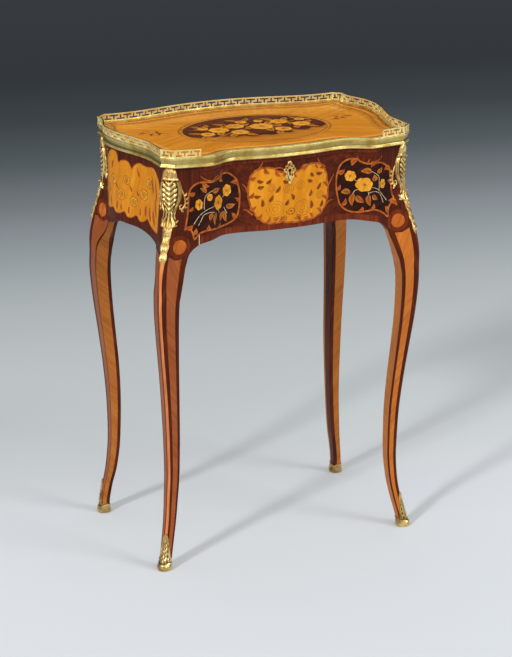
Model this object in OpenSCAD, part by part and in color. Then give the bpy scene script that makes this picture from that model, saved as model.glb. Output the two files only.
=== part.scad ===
// Small writing table with a serpentine top, a pierced brass gallery, cabriole legs and one frieze drawer.
// Millimetres, +Z up, the floor at z = 0, the front towards -Y.

/* [Overall] */
// Width over the brass edge of the top
top_w = 515; // [470:5:580]
// Depth over the brass edge of the top
top_d = 336; // [310:2:370]
// Height from the floor to the gallery's rail
table_h = 750; // [700:5:800]

/* [Top] */
// Height of the moulded brass edge
edge_h = 18; // [16:0.5:22]
// How far the veneered face lies below the top of the brass edge
lip = 3; // [2:0.5:4]
// Width of the brass edge's upper face
edge_w = 9; // [8:0.5:12]
// Depth of the rebate that the brass edge's upper face lies in
rebate = 1; // [0.5:0.25:1.5]
// How far the carcass stands back from the brass edge
overhang = 9; // [8:0.5:12]

/* [Gallery] */
// Height of the pierced gallery
gallery_h = 13; // [11:0.5:16]
// Thickness of the pierced strip
gallery_t = 2; // [1.5:0.25:2.5]
// Distance from the brass edge's face to the gallery's face
gallery_in = 0.8; // [0.5:0.1:2]
// Height of the gallery's foot strip
foot_strip_h = 1.5; // [1:0.25:2]
// Height of the gallery's plain rail
rail_h = 2.5; // [2:0.25:3.5]
// Width of the stem of each T-shaped piercing
stem_w = 3; // [2:0.25:4]
// Length along the gallery from one piercing to the next
key_step = 12.75; // [11:0.25:16]
// Length of the gallery's short returns on the front
return_l = 45; // [30:1:60]

/* [Frieze] */
// Height of the frieze
frieze_h = 127.5; // [118:0.5:140]
// Width between the front legs' posts, where the drawer goes
opening_w = 338; // [300:2:360]
// Width of the guide beside the drawer's side
guide_w = 18; // [14:0.5:20]
// Clearance between a guide and the back leg's post
post_gap = 3; // [1:0.5:6]
// Depth of the posts from the foot's centre inwards
post_d = 54; // [46:1:64]
// Reach of a bracket along the side from the foot's centre
side_bracket = 82; // [70:1:92]
// Distance from the centre of the foot to the top's side edge
foot_in_side = 17.5; // [14:0.5:22]
// Distance from the centre of the foot to the top's front edge
foot_in_front = 16; // [12:0.5:20]
// Distance from the centre of the foot to the top's back edge
foot_in_back = 28; // [24:0.5:32]
// Drop of the apron's lower edge where it meets a leg
edge_drop = 7.5; // [5:0.5:10]
// Length over which the apron's lower edge rises from the leg
edge_run = 48; // [36:1:60]
// Thickness of the front rail above the drawer
front_rail_h = 8.5; // [8:0.5:11]
// Depth of the front rail, measured back from the front of the top
front_rail_d = 62; // [56:1:70]
// Flat back of the side aprons, measured in from the top's side edge
side_wall = 45; // [40:1:50]
// Flat back of the back apron, measured in from the top's back edge
back_wall = 48; // [44:1:54]

/* [Drawer] */
// Thickness of the drawer's sides and back
board = 9; // [7:0.5:11]
// Thickness of the drawer's bottom
bottom_t = 6; // [4:0.5:8]
// Flat back of the drawer front, measured back from the front of the top
front_block = 46; // [42:1:50]
// Running clearance of the drawer
play = 0.7; // [0.4:0.1:1.2]
// Thickness of a bearer under the drawer's side
bearer_t = 12; // [10:0.5:14]
// Height of a bearer's guide over its ledge
guide_h = 14; // [10:1:20]
// How far a ledge or a kicker reaches under or over the drawer's side
ledge = 12; // [9:0.5:15]
// Depth of the dovetails
tail_l = 14; // [10:0.5:16]
// Thickness of the stop blocks
stop_t = 8; // [6:0.5:12]

/* [Writing slide] */
// Thickness of the writing slide
slide_t = 7; // [6:0.5:9]
// Depth of the writing slide from front to back
slide_d = 142; // [120:1:150]
// Depth of the grooves that hold the slide
groove = 4; // [3:0.25:5]
// Height of the drawer's side above the slide
slide_drop = 7; // [5:0.5:12]
// Thickness of the leather
leather_t = 1.2; // [0.8:0.1:2]
// Plain margin of wood around the leather
leather_margin = 12; // [8:1:20]

/* [Lock] */
// Width of the lock's case
lock_w = 52; // [44:1:60]
// Height of the lock's case
lock_h = 34; // [30:1:40]
// Thickness of the lock's case
lock_t = 9; // [8:0.5:11]
// Thickness of the lock's brass sheet
sheet = 1.2; // [1:0.1:1.5]
// Width of the bolt's head
bolt_w = 14; // [10:0.5:18]
// Thickness of the bolt
bolt_t = 4; // [3:0.25:5]
// How far the bolt rises when it is locked
bolt_throw = 6; // [5:0.25:6.5]
// Diameter of the keyhole's round end
key_d = 5.4; // [4.5:0.1:6.5]
// Width of the keyhole's slot
key_slot = 2.6; // [2:0.1:3]
// Length of the keyhole from the centre of its round end
key_l = 9; // [7:0.5:11]

/* [Mounts] */
// Greatest thickness of a corner mount
mount_t = 8; // [6:0.5:10]
// Length of a corner mount with its pendant
mount_l = 163; // [150:1:175]
// Thickness of a foot's brass shoe
sabot_t = 2.2; // [1.6:0.2:3]
// Height of the shoe's tallest leaf
sabot_h = 64; // [54:1:74]
// Thickness of brass under the foot
sabot_floor = 5; // [3:0.5:7]
// Thickness of the keyhole plate
plate_t = 2; // [1.5:0.25:3]
// Height of the keyhole plate
plate_h = 42; // [38:1:48]
// Shaft diameter of a screw
screw_d = 4; // [3:0.5:5]
// Length of a screw
screw_l = 26; // [24:1:28]

/* [Hidden] */
$fn = 48;

kingwood = "#4a1f16";
tulipwood = "#a8602a";
satinwood = "#d08a2c";
oak = "#b08a58";
gilt = "#c9a64a";
hide = "#5b2f1c";

// Heights, from the gallery down
gallery_z = table_h - gallery_h;
frieze_top = gallery_z - edge_h;
apron_z = frieze_top - frieze_h;
top_t = edge_h - lip;
wood_z = frieze_top + top_t;
key_z = gallery_z + foot_strip_h;
key_h = gallery_h - foot_strip_h - rail_h;
key_line = key_h / 3;

// Plan of the top. Across the front and back, points are [share of the half width, distance in from the
// front or back]; along the sides they are [distance in from the side, share of the depth]. The ends of the
// canted corners are [distance in from the side, distance in from the front or back].
hw = top_w / 2;
front_y = -top_d / 2;
back_y = top_d / 2;
front_shape = [[0.155, 10.5], [0.29, 16], [0.388, 18.5], [0.454, 16], [0.505, 8.5], [0.555, 1.5],
               [0.59, 0], [0.64, 1], [0.73, 4.5]];
side_shape = [[26, -0.33], [26, -0.256], [22, -0.19], [15.5, -0.116], [8, -0.042],
              [2.5, 0.036], [0, 0.107], [2, 0.179], [8, 0.238], [14, 0.286], [17, 0.327]];
back_shape = [[0.8, 27.5], [0.718, 27.5], [0.621, 25], [0.485, 17.5], [0.33, 8.5], [0.175, 2.5]];
front_end = [43.5, 8];
side_front_end = [25, 25.9];
side_back_end = [16.5, 40];
back_end = [32.4, 26];
steps = 3;

function curve(a, b, c, d, t) =
  (2 * b + (c - a) * t + (2 * a - 5 * b + 4 * c - d) * t * t + (3 * b - a - 3 * c + d) * t * t * t) / 2;
function flowing(p) = concat(
  [for (i = [0 : len(p) - 2]) for (k = [0 : steps - 1])
    curve(p[max(0, i - 1)], p[i], p[i + 1], p[min(len(p) - 1, i + 2)], k / steps)],
  [p[len(p) - 1]]);
function mirrored(p) = [for (i = [len(p) - 1 : -1 : 0]) [-p[i][0], p[i][1]]];
function front_corner(p) = [hw - p[0], front_y + p[1]];
function back_corner(p) = [hw - p[0], back_y - p[1]];
front_half = concat([for (p = front_shape) [p[0] * hw, front_y + p[1]]], [front_corner(front_end)]);
side_half = concat([front_corner(side_front_end)], [for (p = side_shape) [hw - p[0], p[1] * top_d]],
                   [back_corner(side_back_end)]);
back_half = concat([back_corner(back_end)], [for (p = back_shape) [p[0] * hw, back_y - p[1]]]);
front_line = flowing(concat(mirrored(front_half), [[0, front_y + 9]], front_half));
side_line = flowing(side_half);
back_line = flowing(concat(back_half, [[0, back_y]], mirrored(back_half)));
rim = concat(front_line, side_line, back_line, mirrored(side_line));
rim_n = len(rim);

// The rim runs anticlockwise from the front's left end. These are the first points of its stretches.
side_i = len(front_line);
back_i = side_i + len(side_line);
left_i = back_i + len(back_line);

function unit(v) = v / norm(v);
function left_of(v) = [-v[1], v[0]];
function miter(i) = let (p = rim[(i + rim_n - 1) % rim_n], q = rim[i], r = rim[(i + 1) % rim_n],
  a = left_of(unit(q - p)), b = left_of(unit(r - q))) (a + b) / (1 + a * b);
miters = [for (i = [0 : rim_n - 1]) miter(i)];
// The rim's point i, moved d inwards. i may lie between two points.
function inset_point(i, d) = rim[i % rim_n] + d * miters[i % rim_n];
function inset(i, d) = let (k = floor(i), f = i - k)
  f == 0 ? inset_point(i, d) : inset_point(k, d) * (1 - f) + inset_point(k + 1, d) * f;
function rim_at(d) = [for (i = [0 : rim_n - 1]) inset(i, d)];
carcass = rim_at(overhang);

// Where a stretch of the carcass's outline crosses x, reading its points from a to b
function y_at(x, a, b) = let (hits = [for (i = [a : b - 1]) let (p = carcass[i], q = carcass[i + 1])
  if ((p[0] - x) * (q[0] - x) <= 0 && p[0] != q[0]) p[1] + (q[1] - p[1]) * (x - p[0]) / (q[0] - p[0])]) hits[0];
function x_at(y, a, b) = let (hits = [for (i = [a : b - 1]) let (p = carcass[i], q = carcass[i + 1])
  if ((p[1] - y) * (q[1] - y) <= 0 && p[1] != q[1]) p[0] + (q[0] - p[0]) * (y - p[1]) / (q[1] - p[1])]) hits[0];

// A closed skin over rings that all have the same number of points. end lists the triangles of a hollow end.
module skin(rings, end = []) {
  n = len(rings);
  k = len(rings[0]);
  sides = [for (i = [0 : n - 2]) for (j = [0 : k - 1]) let (a = i * k + j, b = i * k + (j + 1) % k)
    each [[a, a + k, b], [b, a + k, b + k]]];
  cap = len(end) > 0 ? end : [[for (j = [0 : k - 1]) j]];
  last_cap = [for (c = cap) [for (j = [len(c) - 1 : -1 : 0]) (n - 1) * k + c[j]]];
  polyhedron(points = [for (r = rings) each r], faces = concat(cap, last_cap, sides));
}

// Legs. u and v run outwards from the foot's centre, to the side and to the front or back.
foot_x = hw - foot_in_side;
foot_front = front_y + foot_in_front;
foot_back = back_y - foot_in_back;
back_post_x = opening_w / 2 + guide_w + post_gap;

// [height, how far the outer arris stands out to the side, how far to the front or back, width across the
// front, width from front to back]
front_leg = [[0, 4.5, 6, 16, 16], [30, -2.5, 0.5, 15.6, 15.6], [60, -8.5, -5.5, 16.2, 16], [90, -13, -9.3, 17.2, 17],
             [130, -15.8, -11, 18.8, 18.3], [170, -16.5, -8.9, 20.2, 19.5], [230, -14.8, -6, 22, 21],
             [292, -10.4, 0, 24, 22.8], [352, -4.4, 6.5, 27, 23.2], [411, 2, 12.4, 31, 24.2],
             [465, 6, 15.4, 34.4, 25.8], [500, 6, 15.7, 36.4, 27]];
back_leg = [[0, 8, 4, 15, 17], [30, 5.5, 0.5, 14.2, 16.6], [60, 1.5, -2.2, 14.6, 17.8], [90, -3, -5.8, 16.2, 19.6],
            [130, -6.6, -8.5, 17.4, 21], [170, -8.2, -8.2, 18.2, 22.2], [230, -7.6, -4.8, 20.2, 25.4],
            [292, -4.4, 1.5, 22.3, 29.2], [352, 0.6, 8.8, 23.8, 31.8], [411, 6.1, 16.8, 25.8, 35.4],
            [465, 9.3, 22.2, 27.5, 38], [500, 8.6, 21.8, 28, 39]];
leg_scale = (apron_z - 91.5) / 500;
leg_tables = [for (f = [front_leg, back_leg])
  [for (k = [1 : 4]) [for (p = flowing(f)) [p[0] * leg_scale, p[k]]]]];
// [height from the apron's lower edge, share of the way from the leg's inner face to the bracket's end]
bracket_shape = [[-100, 0], [-84, 0.06], [-66, 0.18], [-46, 0.34], [-36, 0.44], [-26, 0.53], [-19, 0.64],
                 [-13, 0.8], [-edge_drop, 1]];
bracket = flowing(bracket_shape);
bracket_n = len(bracket);
arris_w = 3;
soft = 1.2;
knee_h = 100;
knee_levels = [-91, -82, -74, -66, -58, -50, -43, -36, -31, -26, -22, -19, -16, -13, -10, -edge_drop, 1, 14, 28,
               42, 56, 70];
leg_levels = concat([for (i = [0 : 24]) sabot_floor + i * (apron_z - knee_h - sabot_floor) / 24],
                    [for (d = knee_levels) apron_z + d], [frieze_top]);
function rise(a, b, z) = let (s = min(1, max(0, (z - a) / (b - a)))) s * s * (3 - 2 * s);

// Ends of the canted corner on the carcass, as [u, v]
front_cant = [carcass[side_i - 1], carcass[side_i]];
back_cant = [carcass[back_i], carcass[back_i - 1]];
function to_foot(p, back) = back ? [p[0] - foot_x, p[1] - foot_back] : [p[0] - foot_x, foot_front - p[1]];
function post_edge(u, back) = let (x = min(foot_x + u, (back ? back_cant : front_cant)[0][0] - 0.01))
  to_foot([x, y_at(x, back ? back_i : 0, back ? left_i - 1 : side_i - 1)], back)[1];
function post_side(v, back) = let (end = (back ? back_cant : front_cant)[1][1],
  y = back ? min(foot_back + v, end - 0.01) : max(foot_front - v, end + 0.01))
  to_foot([x_at(y, side_i, back_i - 1), 0], back)[0];

// Section of a leg at height z, as [u, v], anticlockwise seen from above on the front right leg: inner end of the
// front bracket, three points of the outer face, two ends of the arris or cant, two points of the side face with
// the side bracket's inner end, and the corner between the brackets, which is filled behind the aprons.
// The faces come flush with the aprons sooner (w_in) than with the corner (w).
function leg_section(z, back) =
  let (t = leg_tables[back ? 1 : 0], a = lookup(z, t[0]), b = lookup(z, t[1]),
       near_u = a - lookup(z, t[2]), near_v = b - lookup(z, t[3]),
       w = rise(apron_z - 76, apron_z + 70, z), w_in = rise(apron_z - 84, apron_z - 22, z), w_mid = (w + w_in) / 2,
       share = lookup(z - apron_z, bracket),
       open = min(1, 5 * share) * (1 - rise(apron_z - edge_drop, apron_z + 1, z)),
       u_in = near_u + (u_post(back) - near_u) * share,
       v_in = max(-post_d, near_v + (-side_bracket - near_v) * share),
       corner_u = (near_u - u_in) * open, corner_v = (near_v - v_in) * open,
       cant = back ? back_cant : front_cant,
       d = [a - arris_w, b] * (1 - w) + to_foot(cant[0], back) * w,
       e = [a, b - arris_w] * (1 - w) + to_foot(cant[1], back) * w,
       c_u = (u_in + d[0]) / 2, f_v = (v_in + e[1]) / 2)
  [[u_in, v_in + soft + corner_v],
   [u_in, b * (1 - w_in) + post_edge(u_in, back) * w_in],
   [c_u, b * (1 - w_mid) + post_edge(c_u, back) * w_mid],
   d, e,
   [a * (1 - w_mid) + post_side(f_v, back) * w_mid, f_v],
   [a * (1 - w_in) + post_side(v_in, back) * w_in, v_in],
   [u_in + soft + corner_u, v_in],
   [u_in + corner_u, v_in + corner_v] + [1, 1] * soft * (0.4 + 0.6 * open)];
function u_post(back) = (back ? back_post_x : opening_w / 2) - foot_x;
function legs_point(p, z, back) = [foot_x + p[0], back ? foot_back + p[1] : foot_front - p[1], z];
function turned(p, back) = back ? [for (i = [len(p) - 1 : -1 : 0]) p[i]] : p;

module leg(back) {
  color(tulipwood)
    difference() {
      skin([for (z = leg_levels) turned([for (p = leg_section(z, back)) legs_point(p, z, back)], back)]);
      leg_mortises(back);
    }
}
module left() {
  mirror([1, 0, 0]) children();
}

// Tenons of the aprons, the front rail and the bearers. Each fills its mortise.
tenon_t = 6;
tenon_l = 16;
shoulder = 12;
post_front_y = foot_front + post_d;
post_back_y = foot_back - post_d;
side_tenon_x = hw - side_wall + 1;
module side_tenons() {
  translate([side_tenon_x, post_front_y - tenon_l, apron_z + 14])
    cube([tenon_t, post_back_y - post_front_y + 2 * tenon_l, frieze_h - 14 - shoulder]);
}
back_tenon_y = back_y - back_wall + 2;
module back_tenons() {
  translate([-back_post_x - tenon_l, back_tenon_y, apron_z + 14])
    cube([2 * (back_post_x + tenon_l), tenon_t, frieze_h - 14 - shoulder]);
}
rail_tenon_h = front_rail_h - 3;
module rail_tenons() {
  translate([-opening_w / 2 - tenon_l, front_y + 28, frieze_top - rail_tenon_h])
    cube([opening_w + 2 * tenon_l, front_rail_d - 38, rail_tenon_h]);
}
module leg_mortises(back) {
  side_tenons();
  if (back) back_tenons();
  if (!back) rail_tenons();
  bearer_tenons();
}

module carcass_block(z0, z1) {
  translate([0, 0, z0]) linear_extrude(z1 - z0) polygon(carcass);
}

// Lower edge of an apron: it leaves the leg at the bracket's curve and rises to the level middle.
// reach is the distance from the apron's middle to the bracket's end, half is half the apron's length, and inner
// holds the distances from the middle to the legs' inner faces at the two ends.
function bracket_points(reach, half, inner) = [for (b = bracket) let (x = reach + (inner - reach) * (1 - b[1]))
  if (x < half) [x, apron_z + b[0]]];
function edge_points(reach) =
  [for (t = [0.1 : 0.1 : 1]) [reach - edge_run * t, apron_z - edge_drop * pow(1 - t, 2)]];
function bracket_level(reach, half, inner) =
  apron_z + lookup((half - reach) / (inner - reach),
    [for (i = [bracket_n - 1 : -1 : 0]) [1 - bracket[i][1], bracket[i][0]]]);
function apron_end(reach, half, inner) = half > reach ?
  concat([[half, bracket_level(reach, half, inner)]], bracket_points(reach, half, inner), edge_points(reach)) :
  concat([[half, apron_z - edge_drop]], edge_points(reach));
module apron_shape(reach, half, top, inner = [0, 0]) {
  polygon(concat([[half, top]], apron_end(reach, half, inner[1]),
    mirrored(apron_end(reach, half, inner[0])), [[-half, top]]));
}
// How far a leg's inner face lies behind the foot's centre where the side bracket begins
function knee_in(shape) = let (k = shape[len(shape) - 1]) k[4] - k[2];

side_mid = (post_front_y + post_back_y) / 2;
foot_half = (foot_back - foot_front) / 2;
module side_apron() {
  color(kingwood) {
    intersection() {
      carcass_block(apron_z - 40, frieze_top);
      translate([hw - side_wall, side_mid, 0]) rotate([90, 0, 90])
        linear_extrude(side_wall)
          apron_shape(foot_half - side_bracket, foot_half - post_d, frieze_top,
            [foot_half - knee_in(front_leg), foot_half - knee_in(back_leg)]);
    }
    side_tenons();
  }
}

module back_apron() {
  color(kingwood) {
    intersection() {
      carcass_block(apron_z - 40, frieze_top);
      translate([0, back_y, 0]) rotate([90, 0, 0])
        linear_extrude(back_wall)
          apron_shape(back_post_x, back_post_x, frieze_top);
    }
    back_tenons();
  }
}

module front_rail() {
  color(kingwood) difference() {
    union() {
      intersection() {
        carcass_block(frieze_top - front_rail_h, frieze_top);
        translate([-opening_w / 2, front_y, 0]) cube([opening_w, front_rail_d, table_h]);
      }
      rail_tenons();
    }
    strike_box();
    bolt_slot();
    for (x = [-screw_x_front, screw_x_front]) screw_hole(x, screw_y_front, frieze_top - front_rail_h);
  }
}

// Lock: the bolt stands in the middle of the case and rises through the case's top edge
lock_back = front_y + front_block;
drawer_top = frieze_top - front_rail_h - play;
bolt_y = lock_back - lock_t / 2 - bolt_t / 2;
bolt_gap = 0.5;
key_pin = 2;
key_z0 = drawer_top - 17;
strike_w = bolt_w + 18;
strike_d = bolt_t + 6;
// Way of the bolt through the case's top edge, the strike plate and the rail
module bolt_slot() {
  translate([-bolt_w / 2 - bolt_gap, bolt_y - bolt_gap, drawer_top - 2 * sheet - 1])
    cube([bolt_w + 2 * bolt_gap, bolt_t + 2 * bolt_gap, 2 * sheet + bolt_throw + 2]);
}
module strike_box() {
  translate([-strike_w / 2, bolt_y + bolt_t / 2 - strike_d / 2, frieze_top - front_rail_h])
    cube([strike_w, strike_d, sheet]);
}
module strike_plate() {
  color(gilt) difference() {
    strike_box();
    bolt_slot();
  }
}

// Bearers: a ledge under the drawer's side and a guide beside it, from the front post to the back apron
bearer_z = apron_z + 3;
ledge_top = bearer_z + bearer_t;
back_inner = back_y - back_wall;
bearer_x = opening_w / 2;
module bearer_tenons() {
  translate([bearer_x, post_front_y - 10, bearer_z + 1])
    cube([guide_w - 4, back_inner - post_front_y + 10, bearer_t - 2]);
}
module bearer() {
  color(oak) {
    translate([bearer_x - ledge, post_front_y, bearer_z])
      cube([ledge + guide_w, back_inner - post_front_y, bearer_t]);
    translate([bearer_x, post_front_y, bearer_z])
      cube([guide_w, back_inner - post_front_y, bearer_t + guide_h]);
    translate([bearer_x - ledge, lock_back + play, bearer_z])
      cube([ledge, post_front_y - lock_back, bearer_t]);
    bearer_tenons();
  }
}

// Kickers lie under the top over the drawer's sides
side_top = drawer_top - 9;
kicker_z = side_top + play;
rail_back = front_y + front_rail_d;
module kicker() {
  color(oak) difference() {
    translate([bearer_x - ledge - 6, rail_back, kicker_z])
      cube([ledge + 6, back_inner - rail_back, frieze_top - kicker_z]);
    screw_hole(screw_x_side, screw_y_side, kicker_z);
    screw_hole(screw_x_side, screw_y_back, kicker_z);
  }
}

drawer_back_y = back_inner - stop_t - play;
stop_w = 30;
stop_h = 40;
stop_in = 44;
stop_lift = 10;
module drawer_stops() {
  color(oak) for (s = [0, 1]) mirror([s, 0, 0])
    translate([opening_w / 2 - stop_in - stop_w, back_inner - stop_t, ledge_top + stop_lift])
      cube([stop_w, stop_t, stop_h]);
}

block_w = 14;
block_l = 30;
block_back_l = 40;
block_back_x = 60;
block_side_y = [-70, 0, 60];
module glue_block(length) {
  linear_extrude(length, center = true) polygon([[0, 0], [-block_w, 0], [0, -block_w]]);
}
module glue_blocks() {
  color(oak) for (s = [0, 1]) mirror([s, 0, 0]) {
    for (y = block_side_y) translate([hw - side_wall, y, frieze_top]) rotate([90, 0, 0]) glue_block(block_l);
    translate([block_back_x, back_inner, frieze_top]) rotate([90, 0, 90]) glue_block(block_back_l);
  }
}

// Screws up through the front rail and the kickers into the top
screw_x_front = 120;
screw_y_front = rail_back - 12;
screw_x_side = bearer_x - ledge / 2 - 3;
screw_end = 40;
screw_y_side = rail_back + screw_end;
screw_y_back = back_inner - screw_end;
head_d = screw_d * 1.9;
head_h = 2.5;
screw_tip = frieze_top + top_t - 4;
module screw_hole(x, y, z) {
  translate([x, y, z - 1]) cylinder(d = screw_d, h = table_h);
  translate([x, y, z - 1]) cylinder(d = head_d, h = 1 + head_h);
}
module screw(x, y, z) {
  difference() {
    union() {
      translate([x, y, z]) cylinder(d = head_d, h = head_h);
      translate([x, y, z]) cylinder(d = screw_d, h = min(screw_l, screw_tip - z));
    }
    translate([x - head_d, y - 0.5, z - 1]) cube([2 * head_d, 1, 2]);
  }
}
module all_screws() {
  for (s = [-1, 1]) {
    screw(s * screw_x_front, screw_y_front, frieze_top - front_rail_h);
    screw(s * screw_x_side, screw_y_side, kicker_z);
    screw(s * screw_x_side, screw_y_back, kicker_z);
  }
}
module top_screws() {
  color("#9a8a60") all_screws();
}

module top_panel() {
  color(satinwood) difference() {
    union() {
      translate([0, 0, frieze_top]) linear_extrude(top_t - rebate) polygon(rim_at(edge_grip));
      translate([0, 0, wood_z - rebate]) linear_extrude(rebate) polygon(rim_at(edge_w));
    }
    for (s = [-1, 1]) {
      translate([s * screw_x_front, screw_y_front, frieze_top - 1]) screw_bore(frieze_top - front_rail_h);
      translate([s * screw_x_side, screw_y_side, frieze_top - 1]) screw_bore(kicker_z);
      translate([s * screw_x_side, screw_y_back, frieze_top - 1]) screw_bore(kicker_z);
    }
  }
}
module screw_bore(from) {
  cylinder(d = screw_d, h = min(screw_l, screw_tip - from) + from - frieze_top + 1);
}

// Brass edge: a bead, a hollow, a second bead and a flat upper face that laps over the wood
edge_grip = 6;
bead = 3.6;
hollow = 2.8;
function edge_profile() = let (h = edge_h, top = gallery_z) [
  [edge_grip, frieze_top], [1.2, frieze_top], [0.2, frieze_top + 0.8], [0.2, frieze_top + bead - 1.2],
  [1.4, frieze_top + bead], [hollow - 0.4, frieze_top + bead + 2], [hollow, frieze_top + h * 0.48],
  [hollow - 0.6, frieze_top + h * 0.66], [0.8, frieze_top + h * 0.82], [0, frieze_top + h * 0.86],
  [0, top - 0.9], [0.7, top], [edge_w, top], [edge_w, wood_z - rebate], [edge_grip, wood_z - rebate]];
// Triangles of the profile's end: fans from its two corners that lie in the wood
edge_end = concat([for (k = [1 : 5]) [0, k, k + 1]], [[0, 6, 14]], [for (k = [6 : 12]) [14, k, k + 1]]);
module edge(i0, i1) {
  color(gilt) skin([for (i = [i1 : -1 : i0]) [for (p = edge_profile()) let (q = inset(i, p[0])) [q[0], q[1], p[1]]]],
    edge_end);
}

// Gallery. A stretch of the rim is measured along its length, and the piercings are set out evenly on it.
gallery_mid = gallery_in + gallery_t / 2;
foot_flange = 0.5;
end_post = 1.6;
lap = 0.05;
function stops(i0, i1) = concat([i0], [for (i = [floor(i0) + 1 : i1]) i]);
function lengths(p) = [for (i = 0, s = 0; i < len(p); s = s + (i < len(p) - 1 ? norm(p[i + 1] - p[i]) : 0),
  i = i + 1) s];
function along(p, l, s) = [lookup(s, [for (i = [0 : len(p) - 1]) [l[i], p[i][0]]]),
                           lookup(s, [for (i = [0 : len(p) - 1]) [l[i], p[i][1]]])];
module wall(i0, i1, d0, d1, z0, z1) {
  at = stops(i0, i1);
  back_at = [for (j = [len(at) - 1 : -1 : 0]) at[j]];
  translate([0, 0, z0]) linear_extrude(z1 - z0)
    polygon(concat([for (i = at) inset(i, d0)], [for (i = back_at) inset(i, d1)]));
}
// One piercing of the key pattern, a T that stands upright or upside down. What is left is the key. At an end of
// a stretch the arm stops short of the joint.
module piercing(width, upright, first, last) {
  stem = stem_w / 2;
  arm = width - stem - key_line;
  short_arm = width / 2 - end_post;
  left = first ? short_arm : arm;
  right = last ? short_arm : arm;
  t_shape = [[-stem, 0], [stem, 0], [stem, 2 * key_line], [right, 2 * key_line], [right, 3 * key_line],
             [-left, 3 * key_line], [-left, 2 * key_line], [-stem, 2 * key_line]];
  translate([0, 2 * gallery_t, 0]) rotate([90, 0, 0]) linear_extrude(4 * gallery_t)
    polygon([for (p = t_shape) [p[0], upright ? p[1] : key_h - p[1]]]);
}
module piercings(i0, i1) {
  p = [for (i = stops(i0, i1)) inset(i, gallery_mid)];
  l = lengths(p);
  n = round(l[len(l) - 1] / key_step);
  width = l[len(l) - 1] / n;
  for (j = [0 : n - 1]) {
    c = along(p, l, width * (j + 0.5));
    way = along(p, l, width * (j + 0.8)) - along(p, l, width * (j + 0.2));
    translate([c[0], c[1], key_z]) rotate([0, 0, atan2(way[1], way[0])])
      piercing(width, j % 2 == 0, j == 0, j == n - 1);
  }
}
module gallery_strips(i0, i1) {
  wall(i0, i1, gallery_in - foot_flange, gallery_in + gallery_t + foot_flange, gallery_z, key_z + lap);
  wall(i0, i1, gallery_in - foot_flange, gallery_in + gallery_t + foot_flange, table_h - rail_h - lap, table_h);
}
module gallery(i0, i1) {
  color(gilt) {
    difference() {
      wall(i0, i1, gallery_in, gallery_in + gallery_t, gallery_z, table_h);
      piercings(i0, i1);
    }
    gallery_strips(i0, i1);
  }
}
// The front corner lengths take in the cant and end square on the front
return_x = rim[side_i - 1][0] - return_l;
return_i = let (hits = [for (i = [0 : side_i - 2]) if (rim[i][0] < return_x && rim[i + 1][0] >= return_x)
  i + (return_x - rim[i][0]) / (rim[i + 1][0] - rim[i][0])]) hits[0];
module gallery_front_corner() {
  color(gilt) {
    difference() {
      wall(return_i, side_i, gallery_in, gallery_in + gallery_t, gallery_z, table_h);
      piercings(return_i, side_i - 1);
      piercings(side_i - 1, side_i);
    }
    gallery_strips(return_i, side_i);
  }
}

// Corner mounts: [share of the length from the top, half width over the corner, share of the thickness]
mount_shape = [[0, 7, 0.35], [0.03, 11, 0.5], [0.08, 13, 0.7], [0.15, 18, 0.9], [0.22, 21, 1], [0.3, 20, 0.95],
               [0.37, 16, 0.8], [0.43, 12, 0.7], [0.49, 10, 0.6], [0.54, 13, 0.7], [0.58, 14, 0.65],
               [0.62, 8, 0.5], [0.68, 7.5, 0.6], [0.74, 5.5, 0.45], [0.8, 7, 0.55], [0.86, 5, 0.4],
               [0.92, 6, 0.45], [0.97, 3.5, 0.3], [1, 1.5, 0.15]];
seat = 0.25;
mount_top = frieze_top - 1.5;
function across(sec, s) = // the point and outward normal at distance s from the middle of the arris
  let (d = sec[3], e = sec[4], half = norm(e - d) / 2, to_front = unit(sec[2] - d), to_side = unit(sec[5] - e))
  s < -half ? [d + to_front * (-s - half), left_of(to_front) * -1] :
  s > half ? [e + to_side * (s - half), left_of(to_side)] :
  [(d + e) / 2 + unit(e - d) * s, left_of(unit(e - d))];
function blended(sec, s) = let (a = across(sec, s - 2)[1], b = across(sec, s + 2)[1]) unit(a + b);
function mount_ring(m, back) =
  let (z = mount_top - m[0] * mount_l, sec = leg_section(z, back), w = m[1], t = m[2] * mount_t,
       half = min(norm(sec[4] - sec[3]) / 2, w * 0.9),
       inner = [for (s = [w, half, -half, -w]) let (c = across(sec, s)) c[0] + blended(sec, s) * seat],
       outer = [for (j = [-4 : 4]) let (s = w * sin(j * 22.5), c = across(sec, s))
         c[0] + blended(sec, s) * (seat + 0.4 + t * cos(j * 22.5))])
  [for (p = concat(inner, outer)) legs_point(p, z, back)];
module corner_mount(back) {
  color(gilt) skin([for (m = mount_shape) turned(mount_ring(m, back), !back)]);
}

// Shoes: a cup around the foot whose rim rises to a leaf on the outer arris
rim_share = [0.24, 0.245, 0.26, 0.3, 0.4, 1, 1, 0.4, 0.3, 0.26, 0.245];
shoe_n = len(rim_share);
function shoe_around(sec) = [sec[8], sec[0], (sec[0] + sec[1]) / 2, sec[1], sec[2], sec[3], sec[4], sec[5], sec[6],
                             (sec[6] + sec[7]) / 2, sec[7]];
function shoe_ring(share, out, back) = [for (j = [0 : shoe_n - 1]) let (
    z = sabot_floor + (sabot_h * rim_share[j] - sabot_floor) * share,
    sec = shoe_around(leg_section(z, back)), mid = (sec[0] + sec[5]) / 2)
  legs_point(sec[j] + unit(sec[j] - mid) * out, z, back)];
function base_ring(z, out, back) = [for (j = [0 : shoe_n - 1]) let (
    sec = shoe_around(leg_section(sabot_floor, back)), mid = (sec[0] + sec[5]) / 2)
  legs_point(sec[j] + unit(sec[j] - mid) * out, z, back)];
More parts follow.
